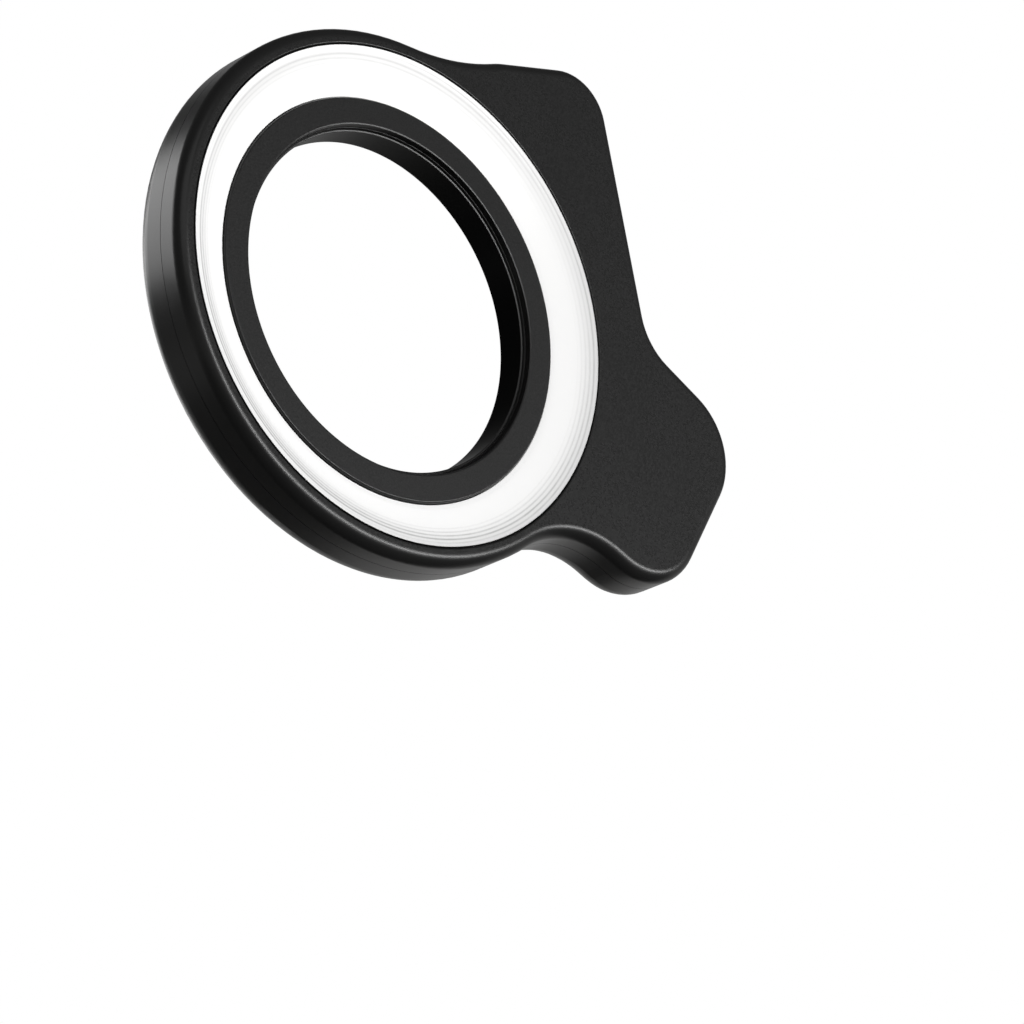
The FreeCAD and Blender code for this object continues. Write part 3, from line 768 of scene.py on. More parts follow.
@dataclass
class LensAdapter:
    """Black ring that turns in the bezel, with a 52 mm thread on its spigot and two slots for a spanner."""

    bore_radius: float = 23.85
    front_depth: float = 3.4
    flange_radius: float = 27.5
    flange_end: float = 4.65
    collar_radius: float = 26.5
    seat_depth: float = 5.9
    end_depth: float = 7.7
    edge_rounding: float = 0.1
    bevel_width: float = 0.2
    bevel_depth: float = 0.07
    bevel_rounding: float = 0.02
    crest_radius: float = 26.0
    pitch: float = 0.75
    crest_width: float = 0.1
    root_width: float = 0.18
    flank_angle: float = 30.0
    start_below_seat: float = 0.85
    turns: int = 4
    steps: int = 160
    slot_start: float = 24.45
    slot_width: float = 1.6
    slot_cut: float = 0.7

    def bevel_end(self) -> float:
        """Depth at which the bore's bright front edge ends."""
        return self.front_depth + self.bevel_depth + self.bevel_rounding

    def build(self) -> bpy.types.Object:
        """Turns the ring, winds the thread, joins them and cuts the slots."""
        thread = self.wind_thread()
        piece = Workpiece.turned(
            "adapter",
            [
                (self.collar_radius, self.seat_depth),
                (self.collar_radius, self.flange_end),
                (self.flange_radius, self.flange_end),
                (self.flange_radius, self.front_depth),
                (self.bore_radius + self.bevel_width, self.front_depth),
                (self.bore_radius, self.front_depth + self.bevel_depth),
                (self.bore_radius, self.end_depth),
                (self.bore_radius + self.edge_rounding, self.end_depth),
            ],
            closed=False,
        )
        piece.round_ring(self.bore_radius + self.bevel_width, self.front_depth, self.bevel_rounding, 2)
        piece.round_ring(self.bore_radius, self.front_depth + self.bevel_depth, self.bevel_rounding, 2)
        piece.round_ring(self.bore_radius, self.end_depth, self.edge_rounding)
        piece.round_ring(self.flange_radius, self.front_depth, self.edge_rounding)
        bpy.ops.object.mode_set(mode="OBJECT")
        thread.select_set(True)
        bpy.ops.object.join()
        bpy.ops.object.mode_set(mode="EDIT")
        for depth in (self.seat_depth, self.end_depth):
            level = depth_to_y(depth)
            piece.join_open_rings(lambda point: abs(point.y - level) < MERGE_DISTANCE * 10)
        bpy.ops.mesh.select_all(action="SELECT")
        bpy.ops.mesh.normals_make_consistent(inside=False)
        for side in (-1, 1):
            self.cut_slot(piece, side)
        return piece.finish("lens_adapter", Slot.ANODISED, ["lens_adapter_ring"])

    def wind_thread(self) -> bpy.types.Object:
        """Winds one pitch of the thread's outline round the spigot and trims both ends.

        Returns:
            The open thread surface.
        """
        flank = (self.pitch - self.crest_width - self.root_width) / 2
        rise = flank / math.tan(math.radians(self.flank_angle))
        start = self.seat_depth - self.start_below_seat
        bpy.ops.object.select_all(action="DESELECT")
        place = ((self.crest_radius - rise) * MM, depth_to_y(start), 0.0)
        bpy.ops.mesh.primitive_plane_add(size=self.root_width * MM, location=place)
        piece = Workpiece("thread")
        bpy.ops.mesh.select_mode(type="VERT")
        bpy.ops.mesh.select_all(action="SELECT")
        bpy.ops.mesh.merge(type="CENTER")
        for outwards, along in ((0, self.root_width), (rise, flank), (0, self.crest_width), (-rise, flank)):
            shift = (outwards * MM, along * MM, 0.0)
            bpy.ops.mesh.extrude_vertices_move(TRANSFORM_OT_translate={"value": shift})
        bpy.ops.object.mode_set(mode="OBJECT")
        screw = piece.body.modifiers.new("winding", "SCREW")
        screw.axis = "Y"
        screw.angle = 2 * math.pi
        screw.screw_offset = self.pitch * MM
        screw.iterations = self.turns
        screw.steps = self.steps
        screw.render_steps = self.steps
        bpy.ops.object.modifier_apply(modifier=screw.name)
        bpy.ops.object.mode_set(mode="EDIT")
        bpy.ops.mesh.select_all(action="SELECT")
        bpy.ops.mesh.remove_doubles(threshold=MERGE_DISTANCE * 10)
        for depth, backwards in ((self.seat_depth, -1.0), (self.end_depth, 1.0)):
            bpy.ops.mesh.select_all(action="SELECT")
            bpy.ops.mesh.bisect(
                plane_co=(0.0, depth_to_y(depth), 0.0),
                plane_no=(0.0, backwards, 0.0),
                clear_outer=True,
                threshold=MERGE_DISTANCE,
            )
        bpy.ops.object.mode_set(mode="OBJECT")
        return piece.body

    def cut_slot(self, piece: Workpiece, side: int) -> None:
        """Cuts one blind slot for a spanner.

        Args:
            piece: The adapter, in edit mode.
            side: -1 for the left slot, 1 for the right one.
        """
        reach = self.crest_radius + 1.0 - self.slot_start
        x = side * (self.slot_start + reach / 2)
        bpy.ops.object.mode_set(mode="OBJECT")
        bpy.ops.object.select_all(action="DESELECT")
        bpy.ops.mesh.primitive_cube_add(size=MM, location=(x * MM, depth_to_y(self.end_depth), 0.0))
        cutter = bpy.context.object
        cutter.scale = (reach, 2 * self.slot_cut, self.slot_width)
        bpy.context.view_layer.objects.active = piece.body
        cut = piece.body.modifiers.new("slot", "BOOLEAN")
        cut.operation = "DIFFERENCE"
        cut.solver = "EXACT"
        cut.object = cutter
        bpy.ops.object.modifier_apply(modifier=cut.name)
        bpy.data.objects.remove(cutter)
        piece.body.select_set(True)
        bpy.ops.object.mode_set(mode="EDIT")


@dataclass
class CaseScrews:
    """Four screws with a rounded head and a cross recess."""

    places: tuple[Point, ...] = ((23.497, 31.0), (39.7, 29.6), (48.65, -12.85), (32.96, -32.62))
    head_radius: float = 1.5
    head_rounding: float = 0.25
    seat_depth: float = 8.7
    top_depth: float = 9.5
    shank_radius: float = 0.8
    tip_radius: float = 0.35
    tip_depth: float = 3.3
    tip_length: float = 0.6
    recess_length: float = 1.8
    recess_width: float = 0.36
    recess_depth: float = 0.45
    recess_taper: float = 0.55
    segments: int = 64

    def build(self) -> list[bpy.types.Object]:
        """Makes one screw at the axis and copies it to each place."""
        piece = Workpiece.turned(
            "case_screw",
            [
                (self.tip_radius, self.tip_depth),
                (self.shank_radius, self.tip_depth + self.tip_length),
                (self.shank_radius, self.seat_depth),
                (self.head_radius, self.seat_depth),
                (self.head_radius, self.top_depth),
            ],
            closed=False,
            segments=self.segments,
        )
        piece.cap_open_rings()
        piece.round_ring(self.head_radius, self.top_depth, self.head_rounding)
        self.cut_recess(piece)
        piece.finish("housing", Slot.SCREW, ["case_screws"])
        return piece.copies(self.places)

    def cut_recess(self, piece: Workpiece) -> None:
        """Cuts the head's top along the cross and sinks the cross.

        Args:
            piece: The screw at the axis, in edit mode.
        """
        top = depth_to_y(self.top_depth)
        half_length, half_width = self.recess_length / 2 * MM, self.recess_width / 2 * MM
        slack = MERGE_DISTANCE * 10

        def on_top(point: Vector) -> bool:
            """True on the head's flat top."""
            return abs(point.y - top) < slack

        def in_cross(point: Vector) -> bool:
            """True on the cross."""
            shorter, longer = sorted((abs(point.x), abs(point.z)))
            return on_top(point) and shorter < half_width + slack and longer < half_length + slack

        for half in (half_length, half_width):
            for side in (-half, half):
                for across, up in ((1.0, 0.0), (0.0, 1.0)):
                    piece.select(Element.FACES, on_top)
                    bpy.ops.mesh.bisect(
                        plane_co=(side * across, top, side * up),
                        plane_no=(across, 0.0, up),
                        threshold=MERGE_DISTANCE,
                    )
        piece.select(Element.FACES, in_cross)
        shift = (0.0, -self.recess_depth * MM, 0.0)
        bpy.ops.mesh.extrude_region_move(TRANSFORM_OT_translate={"value": shift})
        taper = self.recess_taper
        bpy.ops.transform.resize(value=(taper, 1.0, taper), center_override=(0.0, 0.0, 0.0))


@dataclass
class SocketContacts:
    """Gilt contacts on both faces of the charging socket's tongue."""

    count: int = 12
    pitch: float = 0.5
    width: float = 0.28
    thickness: float = 0.04
    end_gap: float = 0.3
    rounding: float = 0.012

    def build(self) -> bpy.types.Object:
        """Makes one contact, repeats it along the tongue's width and copies the row to the other face."""
        low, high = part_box("socket_tongue")
        middle = (low + high) / 2
        length = high.x - low.x - 2 * self.end_gap * MM
        first_z = middle.z - (self.count - 1) / 2 * self.pitch * MM
        place = (middle.x, low.y - self.thickness / 2 * MM, first_z)
        bpy.ops.object.select_all(action="DESELECT")
        bpy.ops.mesh.primitive_cube_add(size=1.0, location=place)
        bpy.context.object.scale = (length, self.thickness * MM, self.width * MM)
        piece = Workpiece("socket_contacts")
        bpy.ops.mesh.bevel(offset=self.rounding * MM, segments=2, affect="EDGES")
        bpy.ops.object.mode_set(mode="OBJECT")
        row = piece.body.modifiers.new("row", "ARRAY")
        row.count = self.count
        row.use_relative_offset = False
        row.use_constant_offset = True
        row.constant_offset_displace = (0.0, 0.0, self.pitch * MM)
        bpy.ops.object.modifier_apply(modifier=row.name)
        bpy.ops.object.mode_set(mode="EDIT")
        bpy.ops.mesh.select_all(action="SELECT")
        shift = (0.0, high.y - low.y + self.thickness * MM, 0.0)
        bpy.ops.mesh.duplicate_move(TRANSFORM_OT_translate={"value": shift})
        return piece.finish("housing", Slot.SOCKET, [])


# Sizes of patterns and heights of reliefs in the finishes are in millimetres.


@dataclass(frozen=True)
class GrainedPlastic:
    """Moulded plastic with a fine etched grain on its flat faces, and painted shade from a depth on, where
    its recesses lie.
    """

    name: str
    colour: Colour
    roughness: float
    etched_depths: tuple[float, ...]
    recess_shade_depth: float | None = None
    recess_shade_factor: float = 0.2
    recess_shade_fade: float = 0.06
    sheen: float = 0.35
    grain: float = 0.19
    pore: float = 0.304
    rub: float = 14.0
    relief: float = 0.002
    on_limit: float = 0.004
    off_limit: float = 0.016
    darkest: float = 0.45
    lightest: float = 1.6
    middle: float = 0.45

    def on_faces(self, height: Signal) -> Signal:
        """Mask of the etched flat faces.

        Args:
            height: Y in millimetres.

        Returns:
            1 on the faces and 0 elsewhere.
        """
        off_faces = [(height - (FRONT + depth)).size() for depth in self.etched_depths]
        first, *others = [off_face.step(self.off_limit, self.on_limit) for off_face in off_faces]
        return sum(others, first)

    def material(self) -> bpy.types.Material:
        """Builds the material."""
        graph = Coat(self.name)
        height = graph.axis("Y")
        flat = self.on_faces(height)
        fine = graph.noise(self.grain, detail=1.0).step(0.28, 0.72)
        pores = graph.noise(self.pore, detail=1.0).step(0.3, 0.7)
        rubbed = graph.noise(self.rub, detail=3.0).step(0.35, 0.7)
        etched = (fine * 0.75 + pores * 0.25 - 0.5) * (flat * 0.8 + 0.1)
        tone = etched + rubbed * 0.1 + self.middle
        surface = graph.tint(tone, shade(self.colour, self.darkest), shade(self.colour, self.lightest))
        # painted shade: from this depth on the colour darkens, where the recesses lie in shade
        if self.recess_shade_depth is not None:
            recess_shade_start = FRONT + self.recess_shade_depth
            recess_shade = height.step(recess_shade_start, recess_shade_start + self.recess_shade_fade)
            surface = graph.tint(recess_shade, surface, shade(self.colour, self.recess_shade_factor))
        return graph.dress(
            Base_Color=surface,
            Roughness=self.roughness + (pores - 0.5) * flat * 0.05 - rubbed * 0.01,
            Normal=graph.bump(fine * flat, self.relief),
            Specular_IOR_Level=self.sheen,
        )


@dataclass(frozen=True)
class ShadeStrength:
    """How strong painted shade is all round the white face, and how much stronger in its upper and lower
    parts.
    """

    all_round: float
    above: float
    below: float

    def over(self, above: Signal, below: Signal) -> Signal:
        """Strength of painted shade over the face, with masks of its upper and lower parts."""
        return below * self.below + above * self.above + self.all_round


@dataclass(frozen=True)
class OpalPlastic:
    """White light-spreading plastic with dust specks, and painted shade in its rib grooves, in bands near
    its rim and on its side in the gap.
    """

    name: str
    colour: Colour
    ring: Diffuser
    glow: float = 0.08
    shade_and_dust_factor: float = 0.5
    gap_shade_factor: float = 0.02
    inner_groove_shade: ShadeStrength = ShadeStrength(0.16, 0.14, 0.62)
    last_groove_shade: float = 0.16
    last_groove_shade_right: float = 0.26
    left_rim_shade: ShadeStrength = ShadeStrength(0.16, 0.24, 0.32)
    right_rim_shade: float = 0.46
    foot_line: float = 0.06
    foot_dust: float = 0.1
    face_dust: float = 0.08

    def groove_shade(self, graph: Coat, above: Signal, below: Signal, last: Signal) -> Signal:
        """Painted shade in the grooves between the turned ribs, stronger above, below and at the outermost
        groove on the right.

        Args:
            graph: Graph of the material.
            above: 1 in the upper part and 0 elsewhere.
            below: 1 in the lower left part and 0 elsewhere.
            last: 1 at the outermost groove and beyond.

        Returns:
            The painted shade, up to about 1.
        """
        start, pitch = self.ring.rib_start, self.ring.rib_pitch
        radius, across, up = graph.radius(), graph.axis("X"), graph.axis("Z")
        along = {0: radius * MM, 1: across * (0.12 * MM), 2: up * (0.12 * MM)}
        streaks = graph.noise(0.3, place=graph.node("ShaderNodeCombineXYZ", None, along)).step(0.35, 0.65)
        phase = (radius - (start - pitch / 4)) * (2 * math.pi / pitch)
        # painted shade in the rib grooves, stronger above, below and at the right
        grooves = (phase.sine() * 0.5 + 0.5) ** 2.0
        inner = radius.step(start - 0.3, self.ring.rim_radius - 0.6) * self.inner_groove_shade.over(above, below)
        outer = across.step(-5.0, 20.0) * self.last_groove_shade_right + self.last_groove_shade
        return grooves * (streaks * 0.3 + 0.85) * (inner + last * (outer - inner))

    def material(self) -> bpy.types.Material:
        """Builds the material."""
        rim, bore = self.ring.rim_radius, self.ring.inner_radius
        graph = Coat(self.name)
        radius, across, up = graph.radius(), graph.axis("X"), graph.axis("Z")
        right = (across - up).step(-4.0, 42.0)
        below = (across * -0.5 - up * 0.87).step(-22.0, 34.0)
        above = up.step(8.0, 34.0)
        last = radius.step(self.ring.last_groove() - 0.35, self.ring.last_groove() - 0.2)
        groove_shade = self.groove_shade(graph, above, below, last)
        # painted shade: bands darken the face towards its rim, at the right and, more above and below, at
        # the left
        right_rim_shade = radius.step(rim - 3.6, rim + 0.4) * right * self.right_rim_shade
        left_rim_shade = radius.step(rim - 4.4, rim - 0.8) * (1.0 - right) * (1.0 - last * 0.7)
        foot = (radius - (bore + 0.55)).size().step(0.35, 0.1) * (below + 0.2)
        speckle = graph.noise(0.28).step(0.4, 0.75)
        drift = graph.noise(7.0).step(0.35, 0.7)
        dust = radius.step(bore, rim - 2.0) * below * self.face_dust + foot * drift * self.foot_dust
        rim_shade = right_rim_shade + left_rim_shade * self.left_rim_shade.over(above, below)
        # the grooves' and rim bands' painted shade, a line near the foot and dust specks darken the white
        shade_and_dust = groove_shade + rim_shade + foot * self.foot_line + speckle * dust
        face_with_shade_and_dust = graph.tint(shade_and_dust, self.colour, shade(self.colour, self.shade_and_dust_factor))
        # painted shade: the side of the rim, in the gap under the casing's edge, is darkened almost to black
        side = radius.step(rim - 0.06, rim - 0.02) * graph.axis("Y").step(FRONT + 0.03, FRONT + 0.08)
        painted = graph.tint(side, face_with_shade_and_dust, shade(self.colour, self.gap_shade_factor))
        return graph.dress(
            Base_Color=painted,
            Emission_Color=painted,
            Emission_Strength=self.glow,
            Roughness=0.4 + groove_shade * 0.2,
            Normal=graph.bump(speckle, 0.004),
        )


@dataclass(frozen=True)
class TurnedMetal:
    """Anodised metal with fine marks of the lathe round the optical axis, worn bright down to a depth."""

    name: str
    colour: Colour
    worn_colour: Colour
    worn_depth: float
    worn_fade: float = 0.02
    roughness: float = 0.38
    sheen: float = 0.06
    mark: float = 0.09
    patch: float = 4.0
    relief: float = 0.004

    def material(self) -> bpy.types.Material:
        """Builds the material."""
        graph = Coat(self.name)
        height = graph.axis("Y")
        across = graph.node("ShaderNodeCombineXYZ", None, {0: graph.radius() * MM, 1: height * MM})
        marks = graph.noise(self.mark, place=across)
        patches = graph.noise(self.patch)
        worn_end = FRONT + self.worn_depth
        worn = height.step(worn_end, worn_end - self.worn_fade)
        coated = graph.tint(marks * 0.6 + patches * 0.4, shade(self.colour, 0.7), shade(self.colour, 1.4))
        return graph.dress(
            Base_Color=graph.tint(worn, coated, self.worn_colour),
            Roughness=self.roughness + (marks - 0.5) * 0.2 + (patches - 0.5) * 0.08 - worn * 0.06,
            Metallic=worn * 0.8,
            Specular_IOR_Level=self.sheen,
            Normal=graph.bump(marks, self.relief),
        )


@dataclass(frozen=True)
class SmoothPlastic:
    """Moulded or coated smooth surface with slight waves and dust."""

    name: str
    colour: Colour
    roughness: float = 0.35
    waviness: float = 0.01
    wave: float = 1.4
    speck: float = 0.3
    glow: float = 0.0
    alpha: float = 1.0

    def material(self) -> bpy.types.Material:
        """Builds the material."""
        graph = Coat(self.name)
        waves = graph.noise(self.wave, detail=1.0)
        dust = graph.noise(self.speck)
        return graph.dress(
            Base_Color=graph.tint((waves + dust) * 0.5, shade(self.colour, 0.88), shade(self.colour, 1.1)),
            Roughness=self.roughness + (dust - 0.5) * 0.14,
            Emission_Color=self.colour,
            Emission_Strength=self.glow,
            Alpha=self.alpha,
            Normal=graph.bump(waves, self.waviness),
        )


@dataclass(frozen=True)
class PlatedSteel:
    """Bright plated or oxidised steel with fine scratches."""

    name: str
    colour: Colour
    roughness: float = 0.25
    scratch: float = 0.07
    stain: float = 1.2
    relief: float = 0.002

    def material(self) -> bpy.types.Material:
        """Builds the material."""
        graph = Coat(self.name)
        scratches = graph.noise(self.scratch, detail=3.0, roughness=0.7)
        stains = graph.noise(self.stain)
        return graph.dress(
            Base_Color=graph.tint(stains, shade(self.colour, 0.8), shade(self.colour, 1.1)),
            Roughness=self.roughness + scratches * 0.15,
            Metallic=1.0,
            Normal=graph.bump(scratches, self.relief),
        )


@dataclass(frozen=True)
class BoardCoat:
    """Circuit board under a solder mask, with its tracks showing as low ridges."""

    name: str
    colour: Colour
    track_pitch: float = 1.1
    thread: float = 0.25
    relief: float = 0.03

    def material(self) -> bpy.types.Material:
        """Builds the material."""
        graph = Coat(self.name)
        cells = graph.node(
            "ShaderNodeTexVoronoi",
            {"distance": "MANHATTAN", "feature": "F1"},
            {"Vector": graph.place(), "Scale": 1 / (self.track_pitch * MM), "Randomness": 0.55},
        )
        tracks = ((cells * (4 * math.pi)).sine() * 0.5 + 0.5).step(0.55, 0.75)
        weave = graph.noise(self.thread, detail=1.0)
        tone = tracks * 0.7 + weave * 0.3
        return graph.dress(
            Base_Color=graph.tint(tone, shade(self.colour, 0.8), shade(self.colour, 1.35)),
            Roughness=0.34 + weave * 0.1,
            Normal=graph.bump(tracks * 0.8 + weave * 0.2, self.relief),
        )


@dataclass(frozen=True)
class MarkedRubber:
    """Silicone rubber with pale paint in its mark, which lies at a depth under the top's Y."""

    name: str
    colour: Colour
    paint: Colour
    top: float
    mark_depth: float
    grain: float = 0.12
    relief: float = 0.01

    def material(self) -> bpy.types.Material:
        """Builds the material."""
        graph = Coat(self.name)
        off_mark = (graph.axis("Y") - (self.top - self.mark_depth)).size()
        painted = off_mark.step(0.05, 0.02)
        grain = graph.noise(self.grain, detail=1.0)
        coated = graph.tint(grain, shade(self.colour, 0.85), shade(self.colour, 1.25))
        return graph.dress(
            Base_Color=graph.tint(painted, coated, self.paint),
            Roughness=0.58 + (grain - 0.5) * 0.2 - painted * 0.15,
            Normal=graph.bump(grain, self.relief),
        )


def finishes() -> dict[Slot, bpy.types.Material]:
    """Builds the material of every slot."""
    black, coat, bare = ((tone, tone, tone) for tone in (0.0095, 0.002, 0.05))
    made = {
        Slot.CASING: GrainedPlastic("casing_plastic", black, 0.3, etched_depths=(0.0, 9.7)),
        Slot.DIFFUSER: OpalPlastic("diffuser_white", (0.95, 0.95, 0.948), Diffuser()),
        # the bezel's painted shade starts 2.34 mm behind the casing's front
        Slot.BEZEL: GrainedPlastic("bezel_plastic", black, 0.33, (Bezel().face_depth,), recess_shade_depth=2.34),
        Slot.ANODISED: TurnedMetal("anodised_black", coat, bare, LensAdapter().bevel_end()),
        Slot.WASHER: SmoothPlastic("washer_plastic", (0.25, 0.25, 0.26), 0.45),
        Slot.RING_BOARD: BoardCoat("board_white", (0.8, 0.81, 0.79)),
        Slot.LED: SmoothPlastic("led_yellow", (0.93, 0.72, 0.2), 0.2, glow=0.05),
        Slot.TRAY: SmoothPlastic("tray_white", (0.88, 0.88, 0.87), 0.3),
        Slot.MAIN_BOARD: BoardCoat("board_green", (0.015, 0.11, 0.05)),
        Slot.SOCKET: PlatedSteel("socket_steel", (0.62, 0.62, 0.63)),
        Slot.CHIP: SmoothPlastic("chip_black", (0.03, 0.03, 0.034), 0.5),
        Slot.SWITCH: SmoothPlastic("switch_black", (0.05, 0.05, 0.055), 0.4),
        Slot.BUTTON: MarkedRubber(
            "button_rubber",
            (0.04, 0.04, 0.041),
            paint=(0.75, 0.75, 0.75),
            top=4.15,
            mark_depth=0.15,
        ),
        Slot.PIPE: SmoothPlastic("pipe_clear", (0.8, 0.84, 0.86), 0.12, alpha=0.65),
        Slot.INDICATOR: SmoothPlastic("indicator_white", (0.85, 0.85, 0.8), 0.2),
        Slot.CELL: PlatedSteel("cell_foil", (0.5, 0.52, 0.54), 0.35),
        Slot.FOAM: SmoothPlastic("foam_pad", (0.08, 0.08, 0.08), 0.85, waviness=0.15),
        Slot.PLUG: SmoothPlastic("plug_white", (0.8, 0.79, 0.74), 0.4),
        Slot.RED_LEAD: SmoothPlastic("lead_red", (0.5, 0.015, 0.012), 0.35),
        Slot.BLACK_LEAD: SmoothPlastic("lead_black", (0.02, 0.02, 0.02), 0.35),
        Slot.WHITE_LEAD: SmoothPlastic("lead_white", (0.8, 0.8, 0.8), 0.35),
        Slot.SCREW: PlatedSteel("screw_black", (0.07, 0.07, 0.075), 0.35),
    }
    return {slot: finish.material() for slot, finish in made.items()}


@dataclass(frozen=True)
class SoftBox:
    """Rectangular lamp that faces the ring light and does not light what it skips, in metres and watts."""

    name: str
    direction: tuple[float, float, float]
    distance: float
    width: float
    height: float
    power: float
    skipped: tuple[str, ...] = ()

    def build(self) -> None:
        """Makes the lamp, which the camera itself does not see."""
        data = bpy.data.lights.new(self.name, "AREA")
        data.shape = "RECTANGLE"
        data.size = self.width
        data.size_y = self.height
        data.energy = self.power
        lamp = bpy.data.objects.new(self.name, data)
        place = Vector(self.direction).normalized() * self.distance
        lamp.location = place
        lamp.rotation_euler = place.to_track_quat("Z", "Y").to_euler()
        lamp.visible_camera = False
        bpy.context.scene.collection.objects.link(lamp)
        if self.skipped:
            unlit = bpy.data.collections.new(self.name)
            for name in self.skipped:
                unlit.objects.link(bpy.data.objects[name])
            lamp.light_linking.receiver_collection = unlit
            for entry in unlit.collection_objects:
                entry.light_linking.link_state = "EXCLUDE"


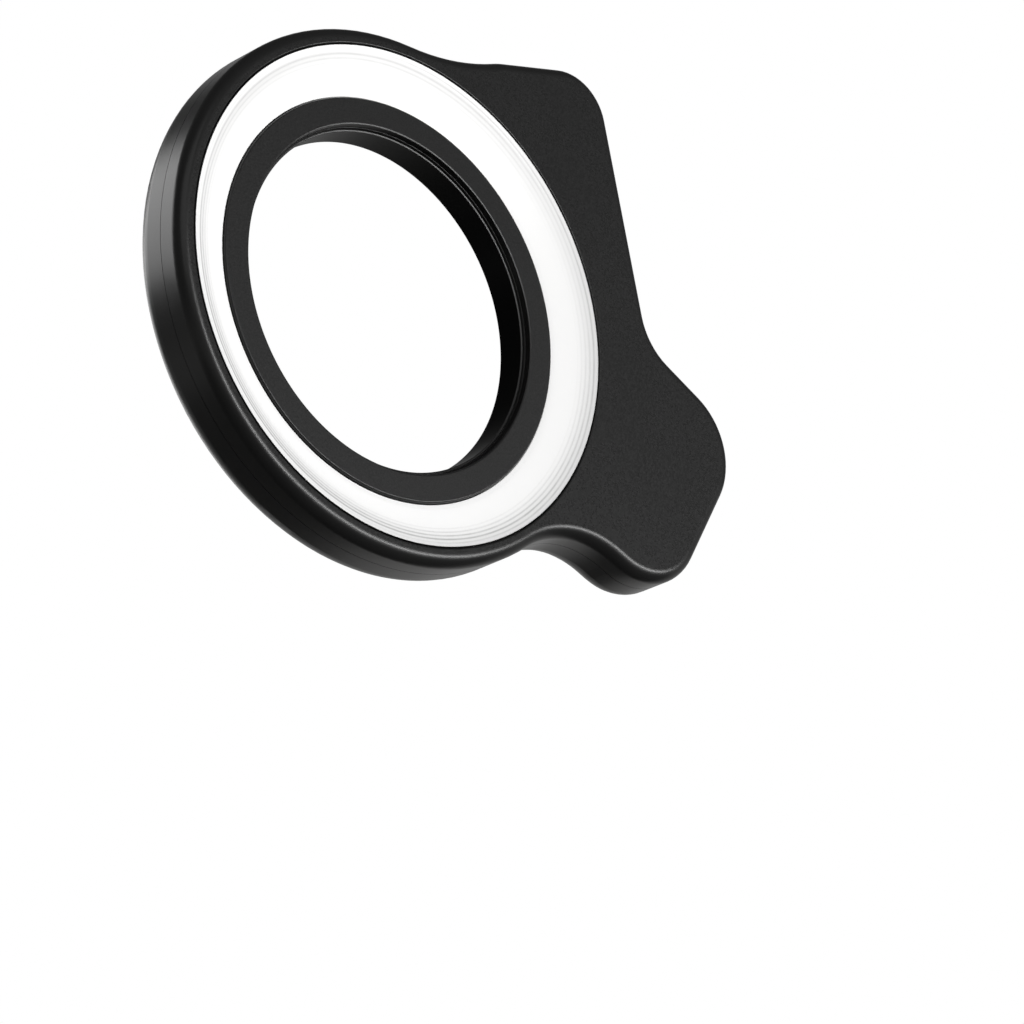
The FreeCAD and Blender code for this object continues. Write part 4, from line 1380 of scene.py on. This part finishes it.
@dataclass
class Studio:
    """Floor, camera, lamps and world, in metres.

    The floor fades into white from fade_start to fade_end. The backdrop's start and end are cosines off
    the camera's axis, and backdrop_gloss is how bright gloss sees it. Elsewhere gloss sees the ceiling's
    brightness, and fill is the world's light on all that isn't gloss.
    """

    camera_place: Vector = Vector((-0.43029, -0.45425, -0.16818))
    camera_right: Vector = Vector((0.7271, -0.6630, -0.1782))
    camera_up: Vector = Vector((-0.0181, -0.2780, 0.9604))
    camera_back: Vector = Vector((-0.6863, -0.6951, -0.2142))
    lens: float = 170.26
    floor_level: float = -0.26
    floor_size: float = 40.0
    floor_colour: Colour = (0.78, 0.775, 0.765)
    floor_roughness: float = 0.9
    fade_start: float = 0.45
    fade_end: float = 1.5
    card_place: tuple[float, float, float] = (-0.3, -0.3, -0.2)
    card_size: tuple[float, float, float] = (1.2, 1.6, 1.0)
    card_turn: float = 45.0
    fill: float = 0.42
    ceiling: float = 0.05
    backdrop_start: float = 0.82
    backdrop_end: float = 0.95
    backdrop_gloss: float = 0.4
    lamps: tuple[SoftBox, ...] = (
        SoftBox("front_low", (0.49, -0.85, -0.18), 0.9, 0.66, 0.19, 5.9, skipped=("floor",)),
        SoftBox("front_middle", (0.19, -0.975, 0.06), 0.9, 0.14, 0.3, 2.1, skipped=("floor", "diffuser")),
        SoftBox("front_right", (0.66, -0.70, 0.26), 1.0, 1.0, 0.7, 0.23),
        SoftBox("front_top", (-0.30, -0.85, 0.60), 1.2, 0.9, 0.7, 1.4),
        SoftBox("left_back", (-0.36, 0.70, 0.50), 0.8, 0.66, 0.40, 2.9, skipped=("adapter", "bezel")),
        SoftBox("back", (0.12, 0.98, 0.14), 1.4, 0.8, 0.8, 3.0, skipped=("adapter",)),
    )

    def build(self) -> None:
        """Builds the whole studio."""
        self.build_camera()
        self.build_world()
        self.build_floor()
        self.build_card()
        for lamp in self.lamps:
            lamp.build()

    def build_camera(self) -> None:
        """Camera at the photograph's viewing angle."""
        data = bpy.data.cameras.new("camera")
        data.lens = self.lens
        camera = bpy.data.objects.new("camera", data)
        turn = Matrix((self.camera_right, self.camera_up, self.camera_back)).transposed()
        camera.matrix_world = Matrix.Translation(self.camera_place) @ turn.to_4x4()
        bpy.context.scene.collection.objects.link(camera)
        bpy.context.scene.camera = camera

    def background_rays(self, graph: Graph) -> tuple[Signal, Signal]:
        """Rays that see the white background.

        Args:
            graph: Graph of the floor or of the world.

        Returns:
            1 for a ray from the camera, and 1 for a reflected or transmitted ray.
        """
        path = graph.node("ShaderNodeLightPath")
        glossy = graph.output_of(path, "Is Glossy Ray")
        transmitted = graph.output_of(path, "Is Transmission Ray")
        return graph.output_of(path, "Is Camera Ray"), glossy.math("MAXIMUM", glossy, transmitted)

    def backdrop(self, graph: Graph, direction: Signal) -> Signal:
        """1 towards the white backdrop behind the light, as the camera looks, and 0 elsewhere.

        Args:
            graph: Graph of the floor or of the world.
            direction: Unit vector.

        Returns:
            The mask.
        """
        inputs = {0: direction, 1: tuple(-self.camera_back)}
        behind = graph.node("ShaderNodeVectorMath", {"operation": "DOT_PRODUCT"}, inputs, output="Value")
        return behind.step(self.backdrop_start, self.backdrop_end)

    def build_world(self) -> None:
        """White for the camera, a dimmed backdrop behind the light for gloss, plain fill for the rest."""
        world = bpy.data.worlds.new("studio")
        bpy.context.scene.world = world
        world.use_nodes = True
        graph = Graph(world.node_tree)
        camera_ray, gloss_ray = self.background_rays(graph)
        backdrop = self.backdrop(graph, graph.node("ShaderNodeTexCoord", output="Generated"))
        gloss = self.ceiling + backdrop * (self.backdrop_gloss - self.ceiling)
        strength = self.fill + gloss_ray * (gloss - self.fill)
        strength = strength + camera_ray * (1.0 - strength)
        background = world.node_tree.nodes["Background"]
        background.inputs["Color"].default_value = (1.0, 1.0, 1.0, 1.0)
        graph.feed(background.inputs["Strength"], strength)

    def build_floor(self) -> None:
        """Pale floor that keeps the light's shadow and fades into white far away."""
        bpy.ops.mesh.primitive_plane_add(size=self.floor_size, location=(0.0, 0.0, self.floor_level))
        floor = bpy.context.object
        floor.name = "floor"
        material = bpy.data.materials.new("floor_pale")
        material.use_nodes = True
        graph = Graph(material.node_tree)
        shader = material.node_tree.nodes["Principled BSDF"]
        graph.feed(shader.inputs["Base Color"], self.floor_colour)
        graph.feed(shader.inputs["Roughness"], self.floor_roughness)
        graph.feed(shader.inputs["Specular IOR Level"], 0.0)
        glow = graph.node("ShaderNodeEmission", None, {"Strength": 1.0})
        camera_ray, gloss_ray = self.background_rays(graph)
        far = graph.node("ShaderNodeVectorMath", {"operation": "LENGTH"}, {0: graph.place()}, output="Value")
        direction = graph.node("ShaderNodeVectorMath", {"operation": "NORMALIZE"}, {0: graph.place()})
        seen = camera_ray + gloss_ray * self.backdrop(graph, direction) * self.backdrop_gloss
        fade = seen * far.step(self.fade_start, self.fade_end)
        plain = Signal(graph, shader.outputs[0])
        mixed = graph.node("ShaderNodeMixShader", None, {0: fade, 1: plain, 2: glow})
        graph.feed(material.node_tree.nodes["Material Output"].inputs["Surface"], mixed)
        floor.data.materials.append(material)

    def build_card(self) -> None:
        """Black card under the light, which only its gloss sees, so that the low walls stay dark."""
        turn = (0.0, 0.0, math.radians(self.card_turn))
        bpy.ops.mesh.primitive_plane_add(size=1.0, location=self.card_place, rotation=turn)
        card = bpy.context.object
        card.name = "black_card"
        card.scale = self.card_size
        material = bpy.data.materials.new("card_black")
        material.use_nodes = True
        shader = material.node_tree.nodes["Principled BSDF"]
        shader.inputs["Base Color"].default_value = (0.0, 0.0, 0.0, 1.0)
        shader.inputs["Specular IOR Level"].default_value = 0.0
        card.data.materials.append(material)
        card.visible_camera = False
        card.visible_diffuse = False
        card.visible_transmission = False
        card.visible_shadow = False


def dress(piece: bpy.types.Object, material: bpy.types.Material) -> None:
    """Gives a piece its one material.

    Args:
        piece: The piece.
        material: Its material.
    """
    piece.data.materials.clear()
    piece.data.materials.append(material)
    log.info("%s: %s, %d faces", piece.name, material.name, len(piece.data.polygons))


def main() -> None:
    """Builds the light's looks in order and reports each piece."""
    logging.basicConfig(level=logging.INFO, format="%(name)s: %(message)s")
    bpy.context.scene.view_settings.view_transform = "Standard"
    materials = finishes()
    for row in frame["record"]["subparts"]:
        dress(frame["nodes"][row["node"]], materials[Slot(row["material_slot"])])
    made = [part().build() for part in (CaseFront, Diffuser, Bezel, LensAdapter)]
    for piece in made + CaseScrews().build():
        dress(piece, materials[Slot(piece["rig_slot"])])
    gilt = PlatedSteel("contact_gilt", (0.9, 0.62, 0.22), 0.2)
    dress(SocketContacts().build(), gilt.material())
    Studio().build()


if __name__ == "__main__":
    main()
